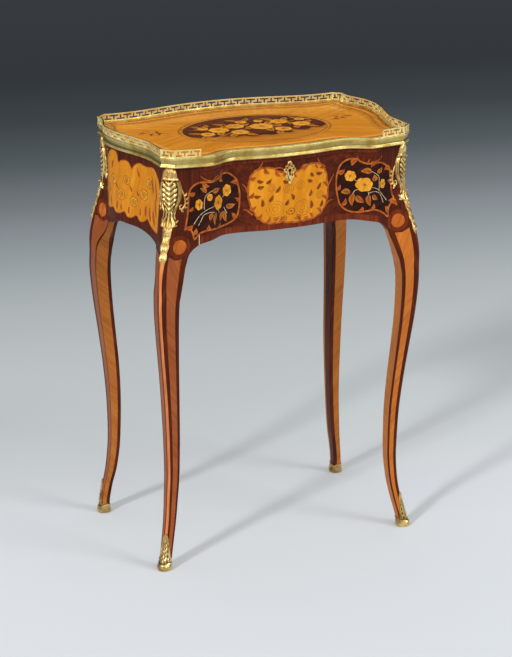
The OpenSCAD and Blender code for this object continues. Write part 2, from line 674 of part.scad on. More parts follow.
module sabot(back) {
  rings = [
    base_ring(0, sabot_t + 0.6, back), base_ring(1.5, sabot_t + 1.6, back), base_ring(sabot_floor, sabot_t + 0.8, back),
    shoe_ring(0.3, sabot_t, back), shoe_ring(0.65, sabot_t * 0.9, back), shoe_ring(1, sabot_t * 0.6, back),
    shoe_ring(1, seat, back), shoe_ring(0.65, seat, back), shoe_ring(0.3, seat, back),
    base_ring(sabot_floor, seat, back)];
  color(gilt) skin([for (r = rings) turned(r, back)]);
}

// Drawer
drawer_hw = opening_w / 2 - play;
side_x = drawer_hw - board;
side_z = ledge_top;
box_front = lock_back;
bottom_z = side_z + 4;
bottom_groove = 4;
slide_z = side_top - slide_drop - slide_t;
module tails() {
  n = 3;
  pitch = (side_top - side_z) / n;
  for (i = [0 : n - 1]) translate([box_front, side_z + pitch * (i + 0.5), 0])
    polygon([[0, -pitch * 0.26], [-tail_l, -pitch * 0.38], [-tail_l, pitch * 0.38], [0, pitch * 0.26]]);
}
module tail_solids() {
  // Drawn in the plane of the drawer's side, then stood up on the side's inner face
  translate([side_x, 0, 0]) rotate([90, 0, 90]) linear_extrude(board) tails();
}
module drawer_front() {
  color(kingwood) difference() {
    intersection() {
      carcass_block(apron_z - edge_drop, drawer_top);
      translate([-drawer_hw, front_y, 0]) cube([2 * drawer_hw, front_block, table_h]);
      translate([0, back_y, 0]) rotate([90, 0, 0]) linear_extrude(top_d)
        apron_shape(opening_w / 2, drawer_hw, table_h);
    }
    tail_solids();
    mirror([1, 0, 0]) tail_solids();
    bottom_board();
    lock_space();
    keyhole(front_y, front_block, 0);
  }
}
module drawer_side() {
  color(oak) difference() {
    union() {
      translate([side_x, box_front, side_z]) cube([board, drawer_back_y - box_front, side_top - side_z]);
      tail_solids();
    }
    bottom_board();
    translate([side_x - 1, box_front, slide_z - play / 2])
      cube([groove + 1, drawer_back_y - board - box_front, slide_t + play]);
    translate([side_x - 1, drawer_back_y - board, bottom_z + bottom_t]) cube([1 + board / 2, board, side_top]);
  }
}
module drawer_back() {
  color(oak) translate([-side_x - board / 2, drawer_back_y - board, bottom_z + bottom_t])
    cube([2 * side_x + board, board, side_top - bottom_z - bottom_t]);
}
module bottom_board() {
  translate([-side_x - bottom_groove, box_front - bottom_groove, bottom_z])
    cube([2 * (side_x + bottom_groove), drawer_back_y - box_front + bottom_groove, bottom_t]);
}
module drawer_bottom() {
  color(oak) bottom_board();
}

// The keyhole: a round hole and a slot below it, cut from y back by depth
module keyhole(y, depth, extra) {
  translate([0, y, key_z0]) rotate([-90, 0, 0]) {
    cylinder(d = key_d + extra, h = depth);
    translate([-key_slot / 2 - extra / 2, 0, 0]) cube([key_slot + extra, key_l, depth]);
  }
}
lock_front = lock_back - lock_t;
module lock_space() {
  translate([-lock_w / 2, lock_front, drawer_top - lock_h]) cube([lock_w, lock_t + 1, lock_h + 1]);
}
module lock_case() {
  color("#b9924a") {
    difference() {
      translate([-lock_w / 2, lock_front, drawer_top - lock_h]) cube([lock_w, lock_t, lock_h]);
      translate([-lock_w / 2 + sheet, lock_front + sheet, drawer_top - lock_h + sheet])
        cube([lock_w - 2 * sheet, lock_t - 2 * sheet, lock_h - 3 * sheet]);
      bolt_slot();
      keyhole(lock_front - 1, sheet + 1.01, 0);
    }
    translate([0, lock_front + 2, key_z0]) rotate([-90, 0, 0]) cylinder(d = key_pin, h = lock_t - sheet - 1.9);
  }
}
bolt_top = drawer_top - 0.3;
shoulder_z = drawer_top - 2 * sheet - bolt_throw - 1;
bolt_bottom = drawer_top - lock_h + sheet + 0.3;
module lock_bolt() {
  color("#a8a294") difference() {
    union() {
      translate([-bolt_w / 2, bolt_y, shoulder_z - 6]) cube([bolt_w, bolt_t, bolt_top - shoulder_z + 6]);
      translate([-bolt_w, bolt_y, bolt_bottom]) cube([2 * bolt_w, bolt_t, shoulder_z - bolt_bottom]);
    }
    // Slot over the key's pin
    translate([-key_pin / 2 - bolt_gap, bolt_y - 1, key_z0 - bolt_throw - key_pin])
      cube([key_pin + 2 * bolt_gap, bolt_t + 2, bolt_throw + 2 * key_pin]);
  }
}

// Keyhole plate: right half of its outline round the keyhole, for a plate 42 high
plate_shape = [[0, 17], [3.4, 15.8], [4.6, 13], [3.8, 10.6], [6.5, 9.8], [8.8, 7.6], [8.2, 4.8], [10.6, 3.6],
               [12, 1], [11.2, -1.8], [8.4, -3.4], [6.6, -6.6], [8.6, -9.4], [8.2, -12.6], [5.4, -14.6],
               [4.2, -17.6], [3.6, -20], [2.6, -23], [0, -25]];
plate_y = y_at(0, 0, side_i - 1);
module escutcheon() {
  half = [for (p = flowing(plate_shape)) p * plate_h / 42];
  color(gilt) difference() {
    translate([0, plate_y - seat, key_z0]) rotate([90, 0, 0]) linear_extrude(plate_t)
      polygon(concat([for (i = [0 : len(half) - 2]) half[i]],
                     [for (i = [len(half) - 1 : -1 : 1]) [-half[i][0], half[i][1]]]));
    keyhole(front_y, front_block, 0.6);
  }
}

// Writing slide: a panel in the grooves of the drawer's sides, lined with leather
slide_front = box_front + 1;
slide_hw = side_x + groove - play / 2;
module leather_space() {
  translate([-side_x + leather_margin, slide_front + leather_margin, slide_z + slide_t - leather_t])
    cube([2 * (side_x - leather_margin), slide_d - 2 * leather_margin, leather_t]);
}
module writing_slide() {
  color(satinwood) difference() {
    translate([-slide_hw, slide_front, slide_z]) cube([2 * slide_hw, slide_d, slide_t]);
    leather_space();
    translate([0, slide_front + 6, slide_z + slide_t + 3]) rotate([0, 90, 0]) cylinder(d = 11, h = 40, center = true);
  }
}
module slide_leather() {
  color(hide) leather_space();
}

left() leg(false);  // leg_front_left
leg(false);  // leg_front_right
left() leg(true);  // leg_back_left
leg(true);  // leg_back_right
left() side_apron();  // side_apron_left
side_apron();  // side_apron_right
back_apron();
front_rail();
strike_plate();
left() bearer();  // bearer_left
bearer();  // bearer_right
left() kicker();  // kicker_left
kicker();  // kicker_right
drawer_stops();
glue_blocks();
top_panel();
top_screws();
edge(0, side_i - 1);  // edge_front
edge(back_i, left_i - 1);  // edge_back
edge(left_i, rim_n - 1);  // edge_left
edge(side_i, back_i - 1);  // edge_right
edge(rim_n - 1, rim_n);  // edge_corner_front_left
edge(side_i - 1, side_i);  // edge_corner_front_right
edge(left_i - 1, left_i);  // edge_corner_back_left
edge(back_i - 1, back_i);  // edge_corner_back_right
gallery(back_i, left_i - 1);  // gallery_back
gallery(left_i, rim_n - 1);  // gallery_left
gallery(side_i, back_i - 1);  // gallery_right
gallery(left_i - 1, left_i);  // gallery_rear_corner_left
gallery(back_i - 1, back_i);  // gallery_rear_corner_right
left() gallery_front_corner();  // gallery_front_corner_left
gallery_front_corner();  // gallery_front_corner_right
left() corner_mount(false);  // corner_mount_front_left
corner_mount(false);  // corner_mount_front_right
left() corner_mount(true);  // corner_mount_back_left
corner_mount(true);  // corner_mount_back_right
left() sabot(false);  // sabot_front_left
sabot(false);  // sabot_front_right
left() sabot(true);  // sabot_back_left
sabot(true);  // sabot_back_right
drawer_front();
left() drawer_side();  // drawer_side_left
drawer_side();  // drawer_side_right
drawer_back();
drawer_bottom();
escutcheon();
lock_case();
lock_bolt();
writing_slide();
slide_leather();
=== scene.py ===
import math
import bmesh
import bpy
import numpy as np
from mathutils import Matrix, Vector


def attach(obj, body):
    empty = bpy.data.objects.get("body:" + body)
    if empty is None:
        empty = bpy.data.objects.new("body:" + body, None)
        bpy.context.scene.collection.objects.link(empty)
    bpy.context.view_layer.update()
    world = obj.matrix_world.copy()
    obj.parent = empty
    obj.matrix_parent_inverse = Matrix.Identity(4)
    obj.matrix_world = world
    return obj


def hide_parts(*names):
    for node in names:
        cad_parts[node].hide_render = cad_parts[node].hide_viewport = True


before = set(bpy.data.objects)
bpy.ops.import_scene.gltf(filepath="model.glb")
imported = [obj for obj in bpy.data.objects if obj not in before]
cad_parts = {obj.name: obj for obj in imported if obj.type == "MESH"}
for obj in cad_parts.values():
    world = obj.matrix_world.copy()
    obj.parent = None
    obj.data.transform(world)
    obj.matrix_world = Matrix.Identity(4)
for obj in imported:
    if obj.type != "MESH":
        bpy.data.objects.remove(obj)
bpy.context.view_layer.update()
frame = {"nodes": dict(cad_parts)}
nodes = frame["nodes"]
print("frame loaded")

# The table's sizes are written in millimetres, and every mesh is made in metres
mm = 0.001

# Camera at the photograph's angle: degrees, metres, and the lens and sensor in millimetres
camera = {
    "azimuth": -24.6, "elevation": 18.4, "roll": 0.17, "distance": 3.86523,
    "target": (-0.00094, -0.00557, 0.36826), "lens": 118.1, "sensor": 36, "shift": (0.0044, -0.0008),
}


def addObject(name, data):
    obj = bpy.data.objects.new(name, data)
    bpy.context.collection.objects.link(obj)
    return obj


def makeCamera():
    # Azimuth a from the front and elevation e stand it off by (sin a cos e, -cos a cos e, sin e)
    a, e = math.radians(camera["azimuth"]), math.radians(camera["elevation"])
    away = Vector((math.sin(a) * math.cos(e), -math.cos(a) * math.cos(e), math.sin(e)))
    data = bpy.data.cameras.new("camera")
    data.sensor_fit = "VERTICAL"
    data.sensor_height = camera["sensor"]
    data.lens = camera["lens"]
    data.shift_x, data.shift_y = camera["shift"]
    obj = addObject("camera", data)
    obj.location = Vector(camera["target"]) + camera["distance"] * away
    obj.rotation_euler = (-away).to_track_quat("-Z", "Y").to_euler()
    obj.rotation_euler.rotate_axis("Z", math.radians(camera["roll"]))
    bpy.context.scene.camera = obj


makeCamera()
print("camera placed")


def asColor(value):
    # A colour for a node from sRGB hex text, from three linear numbers or from one number for a grey
    if isinstance(value, str):
        c = np.array([int(value[i:i + 2], 16) for i in (0, 2, 4)]) / 255
        value = np.where(c <= 0.04045, c / 12.92, ((c + 0.055) / 1.055) ** 2.4)
    return (*np.full(3, value, float), 1)


class Nodes:
    # A short way to write a node tree. add and calcVector return their node, the others an output.
    def __init__(self, tree):
        self.tree = tree
        tree.nodes.clear()

    def add(self, kind, settings=None, **inputs):
        # Inputs go by name, with _ for a space, or by their number as i0, i1 and so on
        node = self.tree.nodes.new(kind)
        for key, value in (settings or {}).items():
            setattr(node, key, value)
        for key, value in inputs.items():
            socket = node.inputs[int(key[1:]) if key[1:].isdigit() else key.replace("_", " ")]
            if isinstance(value, bpy.types.NodeSocket):
                self.tree.links.new(value, socket)
            else:
                socket.default_value = value
        return node

    def ramp(self, factor, stops):
        # stops: [place, colour]
        node = self.add("ShaderNodeValToRGB", Fac=factor)
        elements = node.color_ramp.elements
        while len(elements) < len(stops):
            elements.new(0.5)
        for element, (place, color) in zip(elements, stops):
            element.position = place
            element.color = asColor(color)
        return node.outputs["Color"]

    def mix(self, factor, a, b, blend="MIX"):
        node = self.add("ShaderNodeMix", {"data_type": "RGBA", "blend_type": blend}, i0=factor, i6=a, i7=b)
        return node.outputs[2]

    def calc(self, kind, a, b=0.0):
        return self.add("ShaderNodeMath", {"operation": kind}, i0=a, i1=b).outputs[0]

    def calcVector(self, kind, a, b):
        return self.add("ShaderNodeVectorMath", {"operation": kind}, i0=a, i1=b)

    def noise(self, vector, scale, detail=3.0, roughness=0.5, distortion=0.0):
        return self.add("ShaderNodeTexNoise", Vector=vector, Scale=scale, Detail=detail, Roughness=roughness,
                        Distortion=distortion).outputs["Fac"]

    def bump(self, height, strength, distance):
        node = self.add("ShaderNodeBump", Height=height, Strength=strength, Distance=distance)
        return node.outputs["Normal"]

    def coordinates(self, source="Object", turn=(0, 0, 0), folded=False):
        # Turned by turn, in degrees about X, Y and Z
        at = self.add("ShaderNodeTexCoord").outputs[source]
        if folded:
            # book-matched in quarters: the pattern reads |x| and |y|
            x, y, z = self.add("ShaderNodeSeparateXYZ", Vector=at).outputs
            at = self.add("ShaderNodeCombineXYZ", X=self.calc("ABSOLUTE", x), Y=self.calc("ABSOLUTE", y),
                          Z=z).outputs[0]
        return self.add("ShaderNodeMapping", {"vector_type": "TEXTURE"}, Vector=at,
                        Rotation=[math.radians(v) for v in turn]).outputs["Vector"]

    def attribute(self, name):
        return self.add("ShaderNodeAttribute", {"attribute_name": name}).outputs["Fac"]

    def finish(self, color, roughness, normal=None, **sockets):
        shader = self.add("ShaderNodeBsdfPrincipled", Base_Color=color, Roughness=roughness, **sockets)
        if normal is not None:
            self.tree.links.new(normal, shader.inputs["Normal"])
        self.add("ShaderNodeOutputMaterial", Surface=shader.outputs["BSDF"])


def newMaterial(name):
    material = bpy.data.materials.new(name)
    material.use_nodes = True
    return material, Nodes(material.node_tree)


# Woods: dark, middle and light shade, how fine the stripes are, and how strong the figure is
woods = {
    "kingwood": ("2a0c04", "501c0a", "763214", 210, 0.8),
    "kingwoodRed": ("421608", "6a280f", "8a3e1c", 190, 0.7),
    # a lit copy of kingwood for the left legs' arris: painted highlight
    "kingwoodPaintedHighlight": ("b25e2e", "d87e44", "ee9c5c", 190, 0.7),
    "purplewood": ("1a0904", "2c0f07", "421a0d", 260, 0.5),
    "tulipwood": ("98501a", "bd6a26", "d88838", 230, 1.0),
    # a darker copy of tulipwood for the left legs' panels: painted shade
    "tulipwoodPaintedShade": ("7a3c1a", "985028", "b46a3a", 230, 1.0),
    "tulipwoodPale": ("884a1c", "ae662a", "ca863e", 210, 1.1),
    "satinwood": ("b66a10", "d98818", "f0a52c", 120, 0.9),
    "satinDeep": ("a25c0e", "ce7e16", "e69c2a", 150, 0.9),
    "inlayOrange": ("964814", "ba6022", "d27c34", 300, 0.5),
    "inlayLeaf": ("8f4a18", "b96a28", "d08a3e", 300, 0.5),
    "inlayYellow": ("d07e18", "e89e28", "f4ba46", 300, 0.4),
    "inlayBrown": ("6a3210", "8e4c18", "a86424", 300, 0.5),
    "inlayPale": ("b09a78", "cbb694", "dccbb0", 300, 0.3),
    "ovalGround": ("3a1405", "58240a", "743612", 160, 0.6),
    "oak": ("8a6438", "a98250", "c09c68", 90, 0.8),
}
# What the woods share: how stripes and pores are drawn out along the grain, and the marks' scale and depth
woodFinish = {
    "stripeLength": 0.07, "poreLength": 0.025, "poreScale": 1500, "slowScale": 0.22, "spread": 0.32,
    "burnt": (0.34, 0.2, 0.13), "pore": (0.62, 0.58, 0.55), "bump": (0.06, 0.0003),
}


def woodMaterial(name, wood, grain=(0, 0, 0), source="Object", folded=False, shaded=False, coat=0.05,
                 rough=0.3):
    # Stripes and slow clouds of tone along Z, or along V on a UV map. grain turns the pattern, in degrees.
    dark, mid, light, stripe, figure = woods[wood]
    look = woodFinish
    material, n = newMaterial(name)
    at = n.coordinates(source, grain, folded)

    def along(length):
        squeeze = (1, 1, length) if source == "Object" else (1, length, 1)
        return n.calcVector("MULTIPLY", at, squeeze).outputs[0]

    drawn = along(look["stripeLength"])
    bands = n.noise(drawn, stripe, 4, 0.62, 0.6)
    slow = n.noise(drawn, stripe * look["slowScale"], 2, 0.5, 1.2)
    pores = n.noise(along(look["poreLength"]), look["poreScale"], 2, 0.6)
    tone = n.calc("ADD", n.calc("MULTIPLY", bands, 0.6), n.calc("MULTIPLY", slow, 0.4))
    spread = look["spread"] * figure
    color = n.ramp(tone, [(0.5 - spread, dark), (0.5, mid), (0.5 + spread, light)])
    color = n.mix(0.5, color, n.ramp(pores, [(0.3, look["pore"]), (0.46, 1)]), "MULTIPLY")
    if shaded:
        # sand-burnt shading stored on the piece
        color = n.mix(1.0, color, n.ramp(n.attribute("shade"), [(0, 1), (1, look["burnt"])]), "MULTIPLY")
    n.finish(color, n.ramp(slow, [(0.3, rough - 0.05), (0.7, rough + 0.08)]), n.bump(pores, *look["bump"]),
             Coat_Weight=coat, Coat_Roughness=0.12, Specular_IOR_Level=0.08)
    return material


def gildedMaterial(name, bright, worn, dirtAndShade="2a1a06", rough=0.3, metal=0.84, relief=False):
    # Gilt or lacquered brass: patches of wear, a finely chased surface, and a darker colour where the relief
    # is low: dirt in the cast mounts' hollows, painted dark reflection in the edge's hollow
    material, n = newMaterial(name)
    at = n.coordinates()
    patch, fine = n.noise(at, 38, 4, 0.6), n.noise(at, 420, 3, 0.6)
    color = n.ramp(patch, [(0.32, worn), (0.6, bright)])
    color = n.mix(0.35, color, n.ramp(fine, [(0.25, worn), (0.5, 1)]), "MULTIPLY")
    # low relief darkens towards the dark colour: real dirt on the casts, painted shade on the edge's hollow
    if relief:
        low = n.ramp(n.attribute("relief"), [(0, 1), (0.5, 0)])
        color = n.mix(n.calc("MULTIPLY", low, 0.95), color, asColor(dirtAndShade))
    n.finish(color, n.ramp(patch, [(0.3, rough + 0.16), (0.65, rough)]), n.bump(fine, 0.22, 0.0004),
             Metallic=metal, Specular_IOR_Level=0.6)
    return material


def steelMaterial():
    # Filed steel, scratched along Z
    material, n = newMaterial("filedSteel")
    scratch = n.noise(n.calcVector("MULTIPLY", n.coordinates(), (1, 1, 0.05)).outputs[0], 900, 3, 0.6)
    n.finish(n.ramp(scratch, [(0.3, (0.22, 0.21, 0.2)), (0.7, (0.42, 0.41, 0.39))]),
             n.ramp(scratch, [(0.3, 0.4), (0.7, 0.28)]), n.bump(scratch, 0.15, 0.0002), Metallic=1.0)
    return material


def leatherMaterial():
    # Small cells with creases between them darkened as painted shade, on a slow cloud of colour
    material, n = newMaterial("leatherLining")
    at = n.coordinates()
    cells = n.add("ShaderNodeTexVoronoi", {"feature": "DISTANCE_TO_EDGE"}, Vector=at, Scale=900.0)
    cells = cells.outputs["Distance"]
    cloud = n.noise(at, 22, 3, 0.6)
    color = n.ramp(cloud, [(0.3, "4a1c10"), (0.7, "6d2d1a")])
    # the colour darkens at the cells' edges: painted shade in the creases
    color = n.mix(0.7, color, n.ramp(cells, [(0, (0.55, 0.5, 0.48)), (0.12, 1)]), "MULTIPLY")
    grain = n.bump(n.calc("MINIMUM", cells, 0.12), 0.35, 0.0003)
    n.finish(color, n.ramp(cloud, [(0.3, 0.42), (0.7, 0.55)]), grain)
    return material


kingwood = woodMaterial("kingwoodUpright", "kingwood")
kingwoodLean = woodMaterial("kingwoodQuartered", "kingwood", (35, 38, 0), folded=True)
kingwoodRed = woodMaterial("kingwoodBand", "kingwoodRed")
purplewood = woodMaterial("purplewoodGround", "purplewood", (0, 60, 0))
satinwood = woodMaterial("satinwoodPanel", "satinwood", (0, 90, 32), folded=True, coat=0.25, rough=0.24)
satinwoodUp = woodMaterial("satinwoodUpright", "satinwood", (12, 14, 0), shaded=True)
satinDeep = woodMaterial("satinwoodDeep", "satinDeep", (0, 90, -20), shaded=True, coat=0.4, rough=0.24)
satinCross = woodMaterial("satinwoodCross", "satinDeep", (90, 0, 0), coat=0.4, rough=0.24)
ovalGround = woodMaterial("ovalGround", "ovalGround", (0, 90, 10), coat=0.3, rough=0.24)
satinFlat = woodMaterial("satinwoodSlide", "satinwood", (0, 90, 0))
legBand = woodMaterial("legBand", "kingwood", (0, 0, 8), "UV")
legPanel = woodMaterial("legPanel", "tulipwood", (0, 0, -38), "UV")
legPanelPaintedShade = woodMaterial("legPanelPaintedShade", "tulipwoodPaintedShade", (0, 0, -38), "UV")
legInner = woodMaterial("legInner", "tulipwoodPale", (0, 0, 42), "UV")
legArrisPaintedHighlight = woodMaterial("legArrisPaintedHighlight", "kingwoodPaintedHighlight", (0, 0, 0), "UV", coat=0.25, rough=0.26)
legArrisRed = woodMaterial("legArrisRed", "kingwoodRed", (0, 0, 0), "UV", coat=0.15)
roundelWood = woodMaterial("roundelWood", "inlayOrange", (0, 25, 0))
inlayOrange = woodMaterial("inlayOrange", "inlayOrange", (0, 40, 0), shaded=True)
inlayLeaf = woodMaterial("inlayLeaf", "inlayLeaf", (0, -30, 0), shaded=True)
inlayYellow = woodMaterial("inlayYellow", "inlayYellow", (0, 20, 0), shaded=True)
inlayBrown = woodMaterial("inlayBrown", "inlayBrown", (0, -20, 0), shaded=True)
inlayPale = woodMaterial("inlayPale", "inlayPale", shaded=True)
oakUpright = woodMaterial("oakAlong", "oak", (90, 0, 0), coat=0.0, rough=0.5)
oakAcross = woodMaterial("oakAcross", "oak", (0, 90, 0), coat=0.0, rough=0.5)
giltCast = gildedMaterial("giltCast", "f8d68a", "be8c40", relief=True)
giltShoe = gildedMaterial("giltShoe", "f2d48e", "9a7038", rough=0.26, relief=True)
giltEdge = gildedMaterial("giltEdge", "fae692", "c09e4a", "80682c", rough=0.26, relief=True)
giltGallery = gildedMaterial("giltGallery", "ffeeaa", "e6c46c", rough=0.28, metal=0.6)
lockBrass = gildedMaterial("lockBrass", "c8a050", "8a6a30", rough=0.34)
steel = steelMaterial()
leather = leatherMaterial()
print("materials made")

# Sizes that the table's pieces share
table = {
    "width": 515, "depth": 336, "height": 750,
    "galleryHeight": 13, "edgeHeight": 18, "lip": 3, "edgeWidth": 9, "rebate": 1, "edgeGrip": 6,
    "overhang": 9, "friezeHeight": 127.5, "openingWidth": 338, "railHeight": 8.5, "play": 0.7,
    "footInSide": 17.5, "footInFront": 16, "footInBack": 28,
    "backPost": 50, "postDepth": 54, "sideBracket": 82, "edgeDrop": 7.5, "edgeRun": 48, "veneer": 0.45,
}
halfWidth = table["width"] / 2
halfOpening = table["openingWidth"] / 2
frontY, backY = -table["depth"] / 2, table["depth"] / 2
galleryZ = table["height"] - table["galleryHeight"]
friezeTop = galleryZ - table["edgeHeight"]
apronZ = friezeTop - table["friezeHeight"]
woodZ = galleryZ - table["lip"]
drawerTop = friezeTop - table["railHeight"] - table["play"]
footX = halfWidth - table["footInSide"]
footFront = frontY + table["footInFront"]
footBack = backY - table["footInBack"]

# Plan of the top: [share of half the width, distance in] across the front and back, [distance in, share of
# the depth] along the sides, and the canted corners' ends as [distance in from the side, from front or back]
plan = {
    "front": [[0.155, 10.5], [0.29, 16], [0.388, 18.5], [0.454, 16], [0.505, 8.5], [0.555, 1.5], [0.59, 0],
              [0.64, 1], [0.73, 4.5]],
    "side": [[26, -0.33], [26, -0.256], [22, -0.19], [15.5, -0.116], [8, -0.042], [2.5, 0.036],
             [0, 0.107], [2, 0.179], [8, 0.238], [14, 0.286], [17, 0.327]],
    "back": [[0.8, 27.5], [0.718, 27.5], [0.621, 25], [0.485, 17.5], [0.33, 8.5], [0.175, 2.5]],
    "middle": 9, "frontEnd": [43.5, 8], "sideFrontEnd": [25, 25.9], "sideBackEnd": [16.5, 40],
    "backEnd": [32.4, 26], "fineness": 12,
}


def flowing(points, steps):
    # Catmull-Rom curve through the points: (2b + (c-a)t + (2a-5b+4c-d)tt + (3b-a-3c+d)ttt) / 2, ends doubled
    p = np.asarray(points, float)
    q = np.vstack([p[:1], p, p[-1:]])
    a, b, c, d = (m[:, None, :] for m in (q[:-3], q[1:-2], q[2:-1], q[3:]))
    t = (np.arange(steps) / steps)[None, :, None]
    out = (2 * b + (c - a) * t + (2 * a - 5 * b + 4 * c - d) * t ** 2 + (3 * b - a - 3 * c + d) * t ** 3) / 2
    return np.vstack([out.reshape(-1, p.shape[1]), p[-1:]])


def loop(points, steps):
    # The closed curve of flowing()
    p = np.asarray(points, float)
    return flowing(np.vstack([p[-2:], p, p[:2]]), steps)[2 * steps:-2 * steps]


def smoothRise(a, b, z):
    # From 0 at a to 1 at b, as 3ss - 2sss
    s = np.clip((z - a) / (b - a), 0, 1)
    return s * s * (3 - 2 * s)


def flipped(p):
    return p[::-1] * np.array([-1, 1])


def makeRim(steps):
    # The rim anticlockwise from the front's left end, and the first point of each of its four stretches
    def corner(key, atBack):
        u, v = plan[key]
        return [[halfWidth - u, backY - v if atBack else frontY + v]]
    front = [[u * halfWidth, frontY + v] for u, v in plan["front"]] + corner("frontEnd", False)
    side = [[halfWidth - u, v * table["depth"]] for u, v in plan["side"]]
    back = corner("backEnd", True) + [[u * halfWidth, backY - v] for u, v in plan["back"]]
    lines = [flowing(np.vstack([flipped(front), [[0, frontY + plan["middle"]]], front]), steps),
             flowing(corner("sideFrontEnd", False) + side + corner("sideBackEnd", True), steps),
             flowing(np.vstack([back, [[0, backY]], flipped(back)]), steps)]
    lines.append(flipped(lines[1]))
    return np.vstack(lines), np.cumsum([0] + [len(line) for line in lines])


rim, rimStarts = makeRim(plan["fineness"])


def insetRim(d):
    # Each point moved d inwards along the mitre of its two edges: (a + b) / (1 + a.b)
    ahead = np.roll(rim, -1, 0) - rim
    ahead /= np.linalg.norm(ahead, axis=1, keepdims=True)
    n = np.stack([-ahead[:, 1], ahead[:, 0]], 1)
    a = np.roll(n, 1, 0)
    return rim + d * (a + n) / (1 + (a * n).sum(1, keepdims=True))


# The carcass stands back from the rim, and its four runs are read at a place across or along the table
carcass = insetRim(table["overhang"] - table["veneer"])
frontRun, sideRun, backRun = (carcass[a:b] for a, b in zip(rimStarts[:3], rimStarts[1:4]))


def frontFace(x):
    return np.interp(x, frontRun[:, 0], frontRun[:, 1])


def backFace(x):
    return np.interp(x, backRun[::-1, 0], backRun[::-1, 1])


def sideFace(y):
    return np.interp(y, sideRun[:, 1], sideRun[:, 0])


# A closed form is (points, blocks of faces), where a block is an array of quads or one longer face
def gridFaces(rows, columns, closed=False):
    # Quads of a grid of points, row by row; closed joins the last column to the first
    r, c = np.meshgrid(np.arange(rows - 1), np.arange(columns if closed else columns - 1), indexing="ij")
    c2 = (c + 1) % columns
    corners = [r * columns + c, r * columns + c2, (r + 1) * columns + c2, (r + 1) * columns + c]
    return np.stack(corners, -1).reshape(-1, 4)


def bothSides(front, back):
    return np.vstack([front.reshape(-1, 3), back.reshape(-1, 3)])


def closedSheet(front, back):
    # A sheet between two grids of the same size, with a wall round its edge
    rows, columns = front.shape[:2]
    k = rows * columns
    near = gridFaces(rows, columns)
    index = np.arange(k).reshape(rows, columns)
    edge = np.concatenate([index[0, :], index[1:, -1], index[-1, -2::-1], index[-2:0:-1, 0]])
    after = np.roll(edge, -1)
    wall = np.stack([after, edge, edge + k, after + k], 1)
    return bothSides(front, back), [np.vstack([near, near[:, ::-1] + k, wall])]


def maskedSheet(front, back, mask):
    # A sheet between two grids, with the grid's cells only where mask is true
    rows, columns = front.shape[:2]
    k = rows * columns
    around = np.pad(mask, 1)
    low, high = mask & ~around[:-2, 1:-1], mask & ~around[2:, 1:-1]
    left, right = mask & ~around[1:-1, :-2], mask & ~around[1:-1, 2:]
    at = np.arange(k).reshape(rows, columns)
    a = np.concatenate([at[:-1, :-1][low], at[1:, 1:][high], at[1:, :-1][left], at[:-1, 1:][right]])
    b = np.concatenate([at[:-1, 1:][low], at[1:, :-1][high], at[:-1, :-1][left], at[1:, 1:][right]])
    near = gridFaces(rows, columns)[mask.ravel()]
    faces = np.vstack([near, near[:, ::-1] + k, np.stack([b, a, a + k, b + k], 1)])
    used, faces = np.unique(faces, return_inverse=True)
    return bothSides(front, back)[used], [faces.reshape(-1, 4)]


def closedRing(front, back, hub=False):
    # A sheet between two grids whose columns run all the way round; hub fills the hole within the first row
    rows, columns = front.shape[:2]
    k = rows * columns
    near = gridFaces(rows, columns, True)[:, ::-1]
    start = np.arange(columns)
    after = np.roll(start, -1)
    last, lastAfter = start + k - columns, after + k - columns
    blocks = [near, near[:, ::-1] + k, np.stack([last, last + k, lastAfter + k, lastAfter], 1)]
    if hub:
        blocks += [start[None], start[None, ::-1] + k]
    else:
        blocks.append(np.stack([after, after + k, start + k, start], 1))
    return bothSides(front, back), blocks


def closedTube(grid):
    # Rings of points joined along their length, with a cap at either end
    rows, columns = grid.shape[:2]
    cap = np.arange(columns)[None]
    return grid.reshape(-1, 3), [gridFaces(rows, columns, True), cap[:, ::-1], cap + (rows - 1) * columns]


def outwards(verts, blocks):
    # The faces of a closed form, turned over if the volume within them comes out negative
    p = verts - verts.mean(0)
    volume = sum(np.einsum("ij,ij", p[f[:, 0]], np.cross(p[f[:, k]], p[f[:, k + 1]]))
                 for f in blocks for k in range(1, f.shape[1] - 1))
    return blocks if volume > 0 else [f[:, ::-1] for f in blocks]


def addMesh(name, forms, materials, body="table", kinds=None, uv=None, attributes=None, sharp=40,
            mirror=False, replaced=None):
    # One piece from closed forms. kinds numbers each face's material; uv and attributes follow the points.
    count, points, faces = 0, [], []
    for verts, blocks in forms:
        verts = verts * [-1, 1, 1] if mirror else verts
        points.append(verts)
        faces += [tuple(f) for block in outwards(verts, blocks) for f in (block + count).tolist()]
        count += len(verts)
    mesh = bpy.data.meshes.new(name)
    mesh.from_pydata(np.vstack(points) * mm, [], faces)
    for m in materials:
        mesh.materials.append(m)
    if kinds is not None:
        mesh.polygons.foreach_set("material_index", np.asarray(kinds, np.int32))
    if uv is not None:
        corner = np.empty(len(mesh.loops), np.int32)
        mesh.loops.foreach_get("vertex_index", corner)
        mesh.uv_layers.new(name="along").data.foreach_set("uv", (uv * mm)[corner].ravel())
    for key, values in (attributes or {}).items():
        mesh.attributes.new(key, "FLOAT", "POINT").data.foreach_set("value", np.asarray(values, np.float32))
    mesh.polygons.foreach_set("use_smooth", np.ones(len(mesh.polygons), bool))
    if sharp is not None:
        mesh.set_sharp_from_angle(angle=math.radians(sharp))
    mesh.update()
    obj = addObject(name, mesh)
    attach(obj, body)
    if replaced:
        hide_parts(replaced)
    return obj


